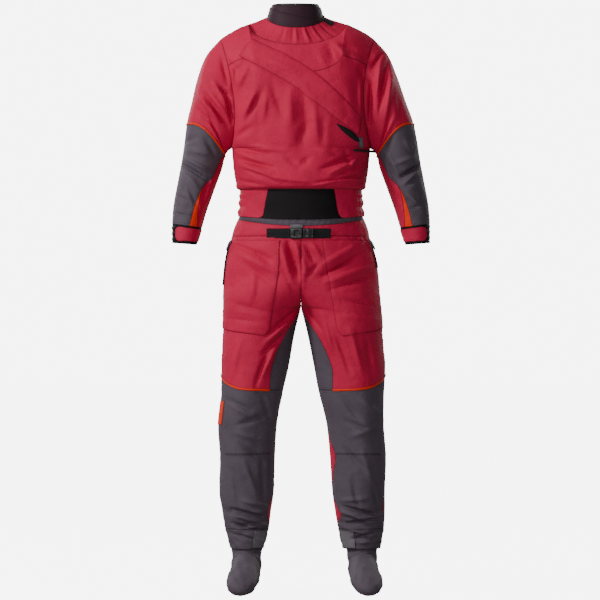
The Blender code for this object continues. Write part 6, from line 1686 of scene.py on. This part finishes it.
def cloth_finish(name, facts):
    """Woven cloth: weave and crumple in its bump, colour varied at random, painted shade at seams, and
    stitching.
    """
    tree = Tree(name)
    place = tree.add("ShaderNodeTexCoord").outputs["Object"]
    weave = tree.add("ShaderNodeUVMap", uv_map="weave").outputs["UV"]
    hem = tree.add("ShaderNodeUVMap", uv_map="hem").outputs["UV"]
    run = tree.add("ShaderNodeSeparateXYZ", {"Vector": weave})
    far = tree.add("ShaderNodeSeparateXYZ", {"Vector": hem})
    warp = tree.math("SINE", tree.math("MULTIPLY", run.outputs["X"], 2 * math.pi / facts["weave"]))
    weft = tree.math("SINE", tree.math("MULTIPLY", run.outputs["Y"], 2 * math.pi / facts["weave"]))
    thread = tree.math("MULTIPLY", warp, weft)
    broad = tree.noise(place, 7.0, 3.0, 0.55)
    middle = tree.noise(place, 42.0, 4.0, 0.6)
    fine = tree.noise(place, 900.0, 2.0, 0.5)
    near = tree.math("MINIMUM", far.outputs["X"], far.outputs["Y"])
    # Painted shade along each seam, darkest at the panel's edge and gone 3.5 mm in.
    seam_shade = tree.math("SUBTRACT", 1.0, tree.math("DIVIDE", near, 0.0035), clamp=True)
    shade = tree.math("MULTIPLY", tree.math("SUBTRACT", broad, 0.42, clamp=True), 0.9)
    shade = tree.math("ADD", shade, tree.math("MULTIPLY", tree.math("SUBTRACT", middle, 0.45), 0.35))
    shade = tree.math("ADD", shade, tree.math("MULTIPLY", thread, 0.07))
    shade = tree.math("ADD", shade, tree.math("MULTIPLY", seam_shade, 0.55), clamp=True)
    colour = tree.mix(shade, facts["colour"], facts["shade"])
    # Painted shade in the gap between panels: a dark line within 1.3 mm of each edge.
    gap_shade_line = tree.math("SUBTRACT", 1.0, tree.math("DIVIDE", near, 0.0013), clamp=True)
    dark = tuple(SEAM_GAP_SHADE * part for part in facts["shade"])
    colour = tree.mix(tree.math("MULTIPLY", gap_shade_line, SEAM_SHOWS), colour, dark)
    sewn = tree.math("MAXIMUM", stitches(tree, run.outputs["Y"], far.outputs["X"]),
                     stitches(tree, run.outputs["X"], far.outputs["Y"]))
    colour = tree.mix(tree.math("MULTIPLY", sewn, SEAM_SHOWS), colour, facts["stitch"])
    rough = tree.math("ADD", facts["rough"] - 0.08, tree.math("MULTIPLY", fine, 0.10))
    rough = tree.math("ADD", rough, tree.math("MULTIPLY", broad, 0.10))
    normal = tree.bump(tree.folded(place, 8.0), facts["crumple"], 0.020)
    normal = tree.bump(tree.folded(place, 21.0), facts["crumple"], 0.007, normal)
    normal = tree.bump(middle, facts["crumple"], 0.004, normal)
    normal = tree.bump(tree.noise(place, 130.0, 3.0, 0.6), facts["crumple"] * 0.5, 0.0012, normal)
    normal = tree.bump(thread, facts["weave_deep"], 0.0002, normal)
    normal = tree.bump(sewn, 0.5, 0.0005, normal)
    shader = tree.add("ShaderNodeBsdfPrincipled", {
        "Base Color": colour, "Roughness": rough, "Normal": normal, "Sheen Weight": facts["sheen"],
        "Sheen Roughness": 0.45, "Specular IOR Level": 0.12})
    return tree.done(shader.outputs["BSDF"])


def plastic_finish(name, colour, rough):
    """Moulded plastic: fine grain in its bump, faint scuffs in its colour and roughness."""
    tree = Tree(name)
    place = tree.add("ShaderNodeTexCoord").outputs["Object"]
    scuff = tree.noise(place, 160.0, 4.0, 0.65)
    grain = tree.noise(place, 1600.0, 2.0, 0.5)
    worn = tree.math("MULTIPLY", tree.math("SUBTRACT", scuff, 0.52, clamp=True), 1.4, clamp=True)
    shade = tree.mix(worn, colour, tuple(c * 1.9 + 0.01 for c in colour))
    roughness = tree.math("ADD", rough, tree.math("MULTIPLY", scuff, 0.16))
    normal = tree.bump(grain, 0.25, 0.0002)
    shader = tree.add("ShaderNodeBsdfPrincipled", {
        "Base Color": shade, "Roughness": roughness, "Normal": normal, "Specular IOR Level": 0.5})
    return tree.done(shader.outputs["BSDF"])


def finish_of(slot_name):
    """Material of a slot, made once."""
    if slot_name not in FINISHES:
        if slot_name in CLOTHS:
            facts = dict(zip(CLOTH_HEAD, CLOTHS[slot_name]))
            FINISHES[slot_name] = cloth_finish(slot_name + "_finish", facts)
        else:
            FINISHES[slot_name] = plastic_finish(slot_name + "_finish", *PLASTICS[slot_name])
    return FINISHES[slot_name]


FLOOR_GLOW = 6.5
AIR_GLOW = 6.7


FLOOR_REACH = 30.0
FLOOR_SHADE, FLOOR_OWN_GLOW, AIR_OWN_GLOW = 0.25, 0.10, 0.12
FILM_WIDTH = 36.0
CAMERA_SEES = 60.0
LAMP_HEAD = ("name", "place", "aim", "size", "power")
LAMPS = (("key", (-2.9, -1.8, 1.2), (0.0, 0.0, -0.7), 0.8, 112.0),
         ("front", (-1.0, -4.2, -0.2), (0.0, 0.0, -1.1), 1.2, 66.0),
         ("fill", (3.0, -2.6, -0.2), (0.0, 0.0, -0.8), 2.2, 3.0),
         ("top", (-0.5, -0.6, 2.6), (0.0, 0.0, -0.6), 1.1, 18.0),
         ("back_left", (-2.4, 2.8, 0.6), (0.0, 0.0, -0.7), 1.6, 48.0),
         ("back_right", (2.4, 2.8, 0.6), (0.0, 0.0, -0.7), 1.6, 48.0))


def placed(name, data, place):
    """Object with its data, linked to the scene at a place."""
    obj = bpy.data.objects.new(name, data)
    obj.location = place
    bpy.context.scene.collection.objects.link(obj)
    return obj


def studio_floor():
    """Wide flat floor that glows only to the camera, so that it looks white and throws no light."""
    mesh = bpy.data.meshes.new("studio_floor")
    corners = [(x * FLOOR_REACH, y * FLOOR_REACH, FLOOR_Z) for x, y in ((-1, -1), (1, -1), (1, 1), (-1, 1))]
    mesh.from_pydata(corners, [], [(0, 1, 2, 3)])
    floor = placed("studio_floor", mesh, (0.0, 0.0, 0.0))
    tree = Tree("studio_white")
    seen = tree.add("ShaderNodeLightPath").outputs["Is Camera Ray"]
    glow = tree.math("ADD", FLOOR_OWN_GLOW, tree.math("MULTIPLY", seen, FLOOR_GLOW))
    shader = tree.add("ShaderNodeBsdfPrincipled", {
        "Base Color": (*[FLOOR_SHADE] * 3, 1.0), "Roughness": 0.95, "Specular IOR Level": 0.0,
        "Emission Color": (1.0, 1.0, 1.0, 1.0), "Emission Strength": glow})
    mesh.materials.append(tree.done(shader.outputs["BSDF"]))


def studio_air():
    """World of the same white to the camera and a faint even light to everything else."""
    world = bpy.data.worlds.new("studio_air")
    world.use_nodes = True
    nodes, links = world.node_tree.nodes, world.node_tree.links
    sky = nodes["Background"]
    sky.inputs["Color"].default_value = (1.0, 1.0, 1.0, 1.0)
    level = nodes.new("ShaderNodeMath")
    level.operation = "MULTIPLY_ADD"
    level.inputs[1].default_value = AIR_GLOW
    level.inputs[2].default_value = AIR_OWN_GLOW
    links.new(nodes.new("ShaderNodeLightPath").outputs["Is Camera Ray"], level.inputs[0])
    links.new(level.outputs[0], sky.inputs["Strength"])
    bpy.context.scene.world = world


def studio():
    """Pale floor and air, soft lights and the photo's level camera."""
    studio_floor()
    for values in LAMPS:
        lamp = dict(zip(LAMP_HEAD, values))
        data = bpy.data.lights.new(lamp["name"], "AREA")
        data.size = lamp["size"]
        data.energy = lamp["power"]
        obj = placed(lamp["name"], data, lamp["place"])
        direction = mathutils.Vector(lamp["aim"]) - mathutils.Vector(lamp["place"])
        obj.rotation_euler = direction.to_track_quat("-Z", "Y").to_euler()
    studio_air()
    data = bpy.data.cameras.new("front_camera")
    data.lens = FILM_WIDTH * CAMERA_AWAY / PHOTO_SPAN
    data.sensor_width = FILM_WIDTH
    data.clip_end = CAMERA_SEES
    camera = placed("front_camera", data, (PHOTO_X, -CAMERA_AWAY, PHOTO_Z))
    camera.rotation_euler = (math.pi / 2, 0.0, 0.0)
    bpy.context.scene.camera = camera


def build_scene():
    """All cloth, hard pieces, materials and the studio."""
    trunk_cloth()
    chest_cloth()
    neck_cloth()
    waist_cloth()
    belt_cloth()
    small_trim()
    for side, tag in ((-1, "l"), (1, "r")):
        sleeve_cloth(side, tag)
        leg_cloth(side, tag)
        pocket_cloth(side, tag)
        slider(tag)
        tab = frame["nodes"]["pull_tab_" + tag]
        for k in range(len(tab.material_slots)):
            tab.material_slots[k].material = plastic_finish("pull_tab_finish_" + tag, *PULL_TAB_LOOK)
    studio()


build_scene()
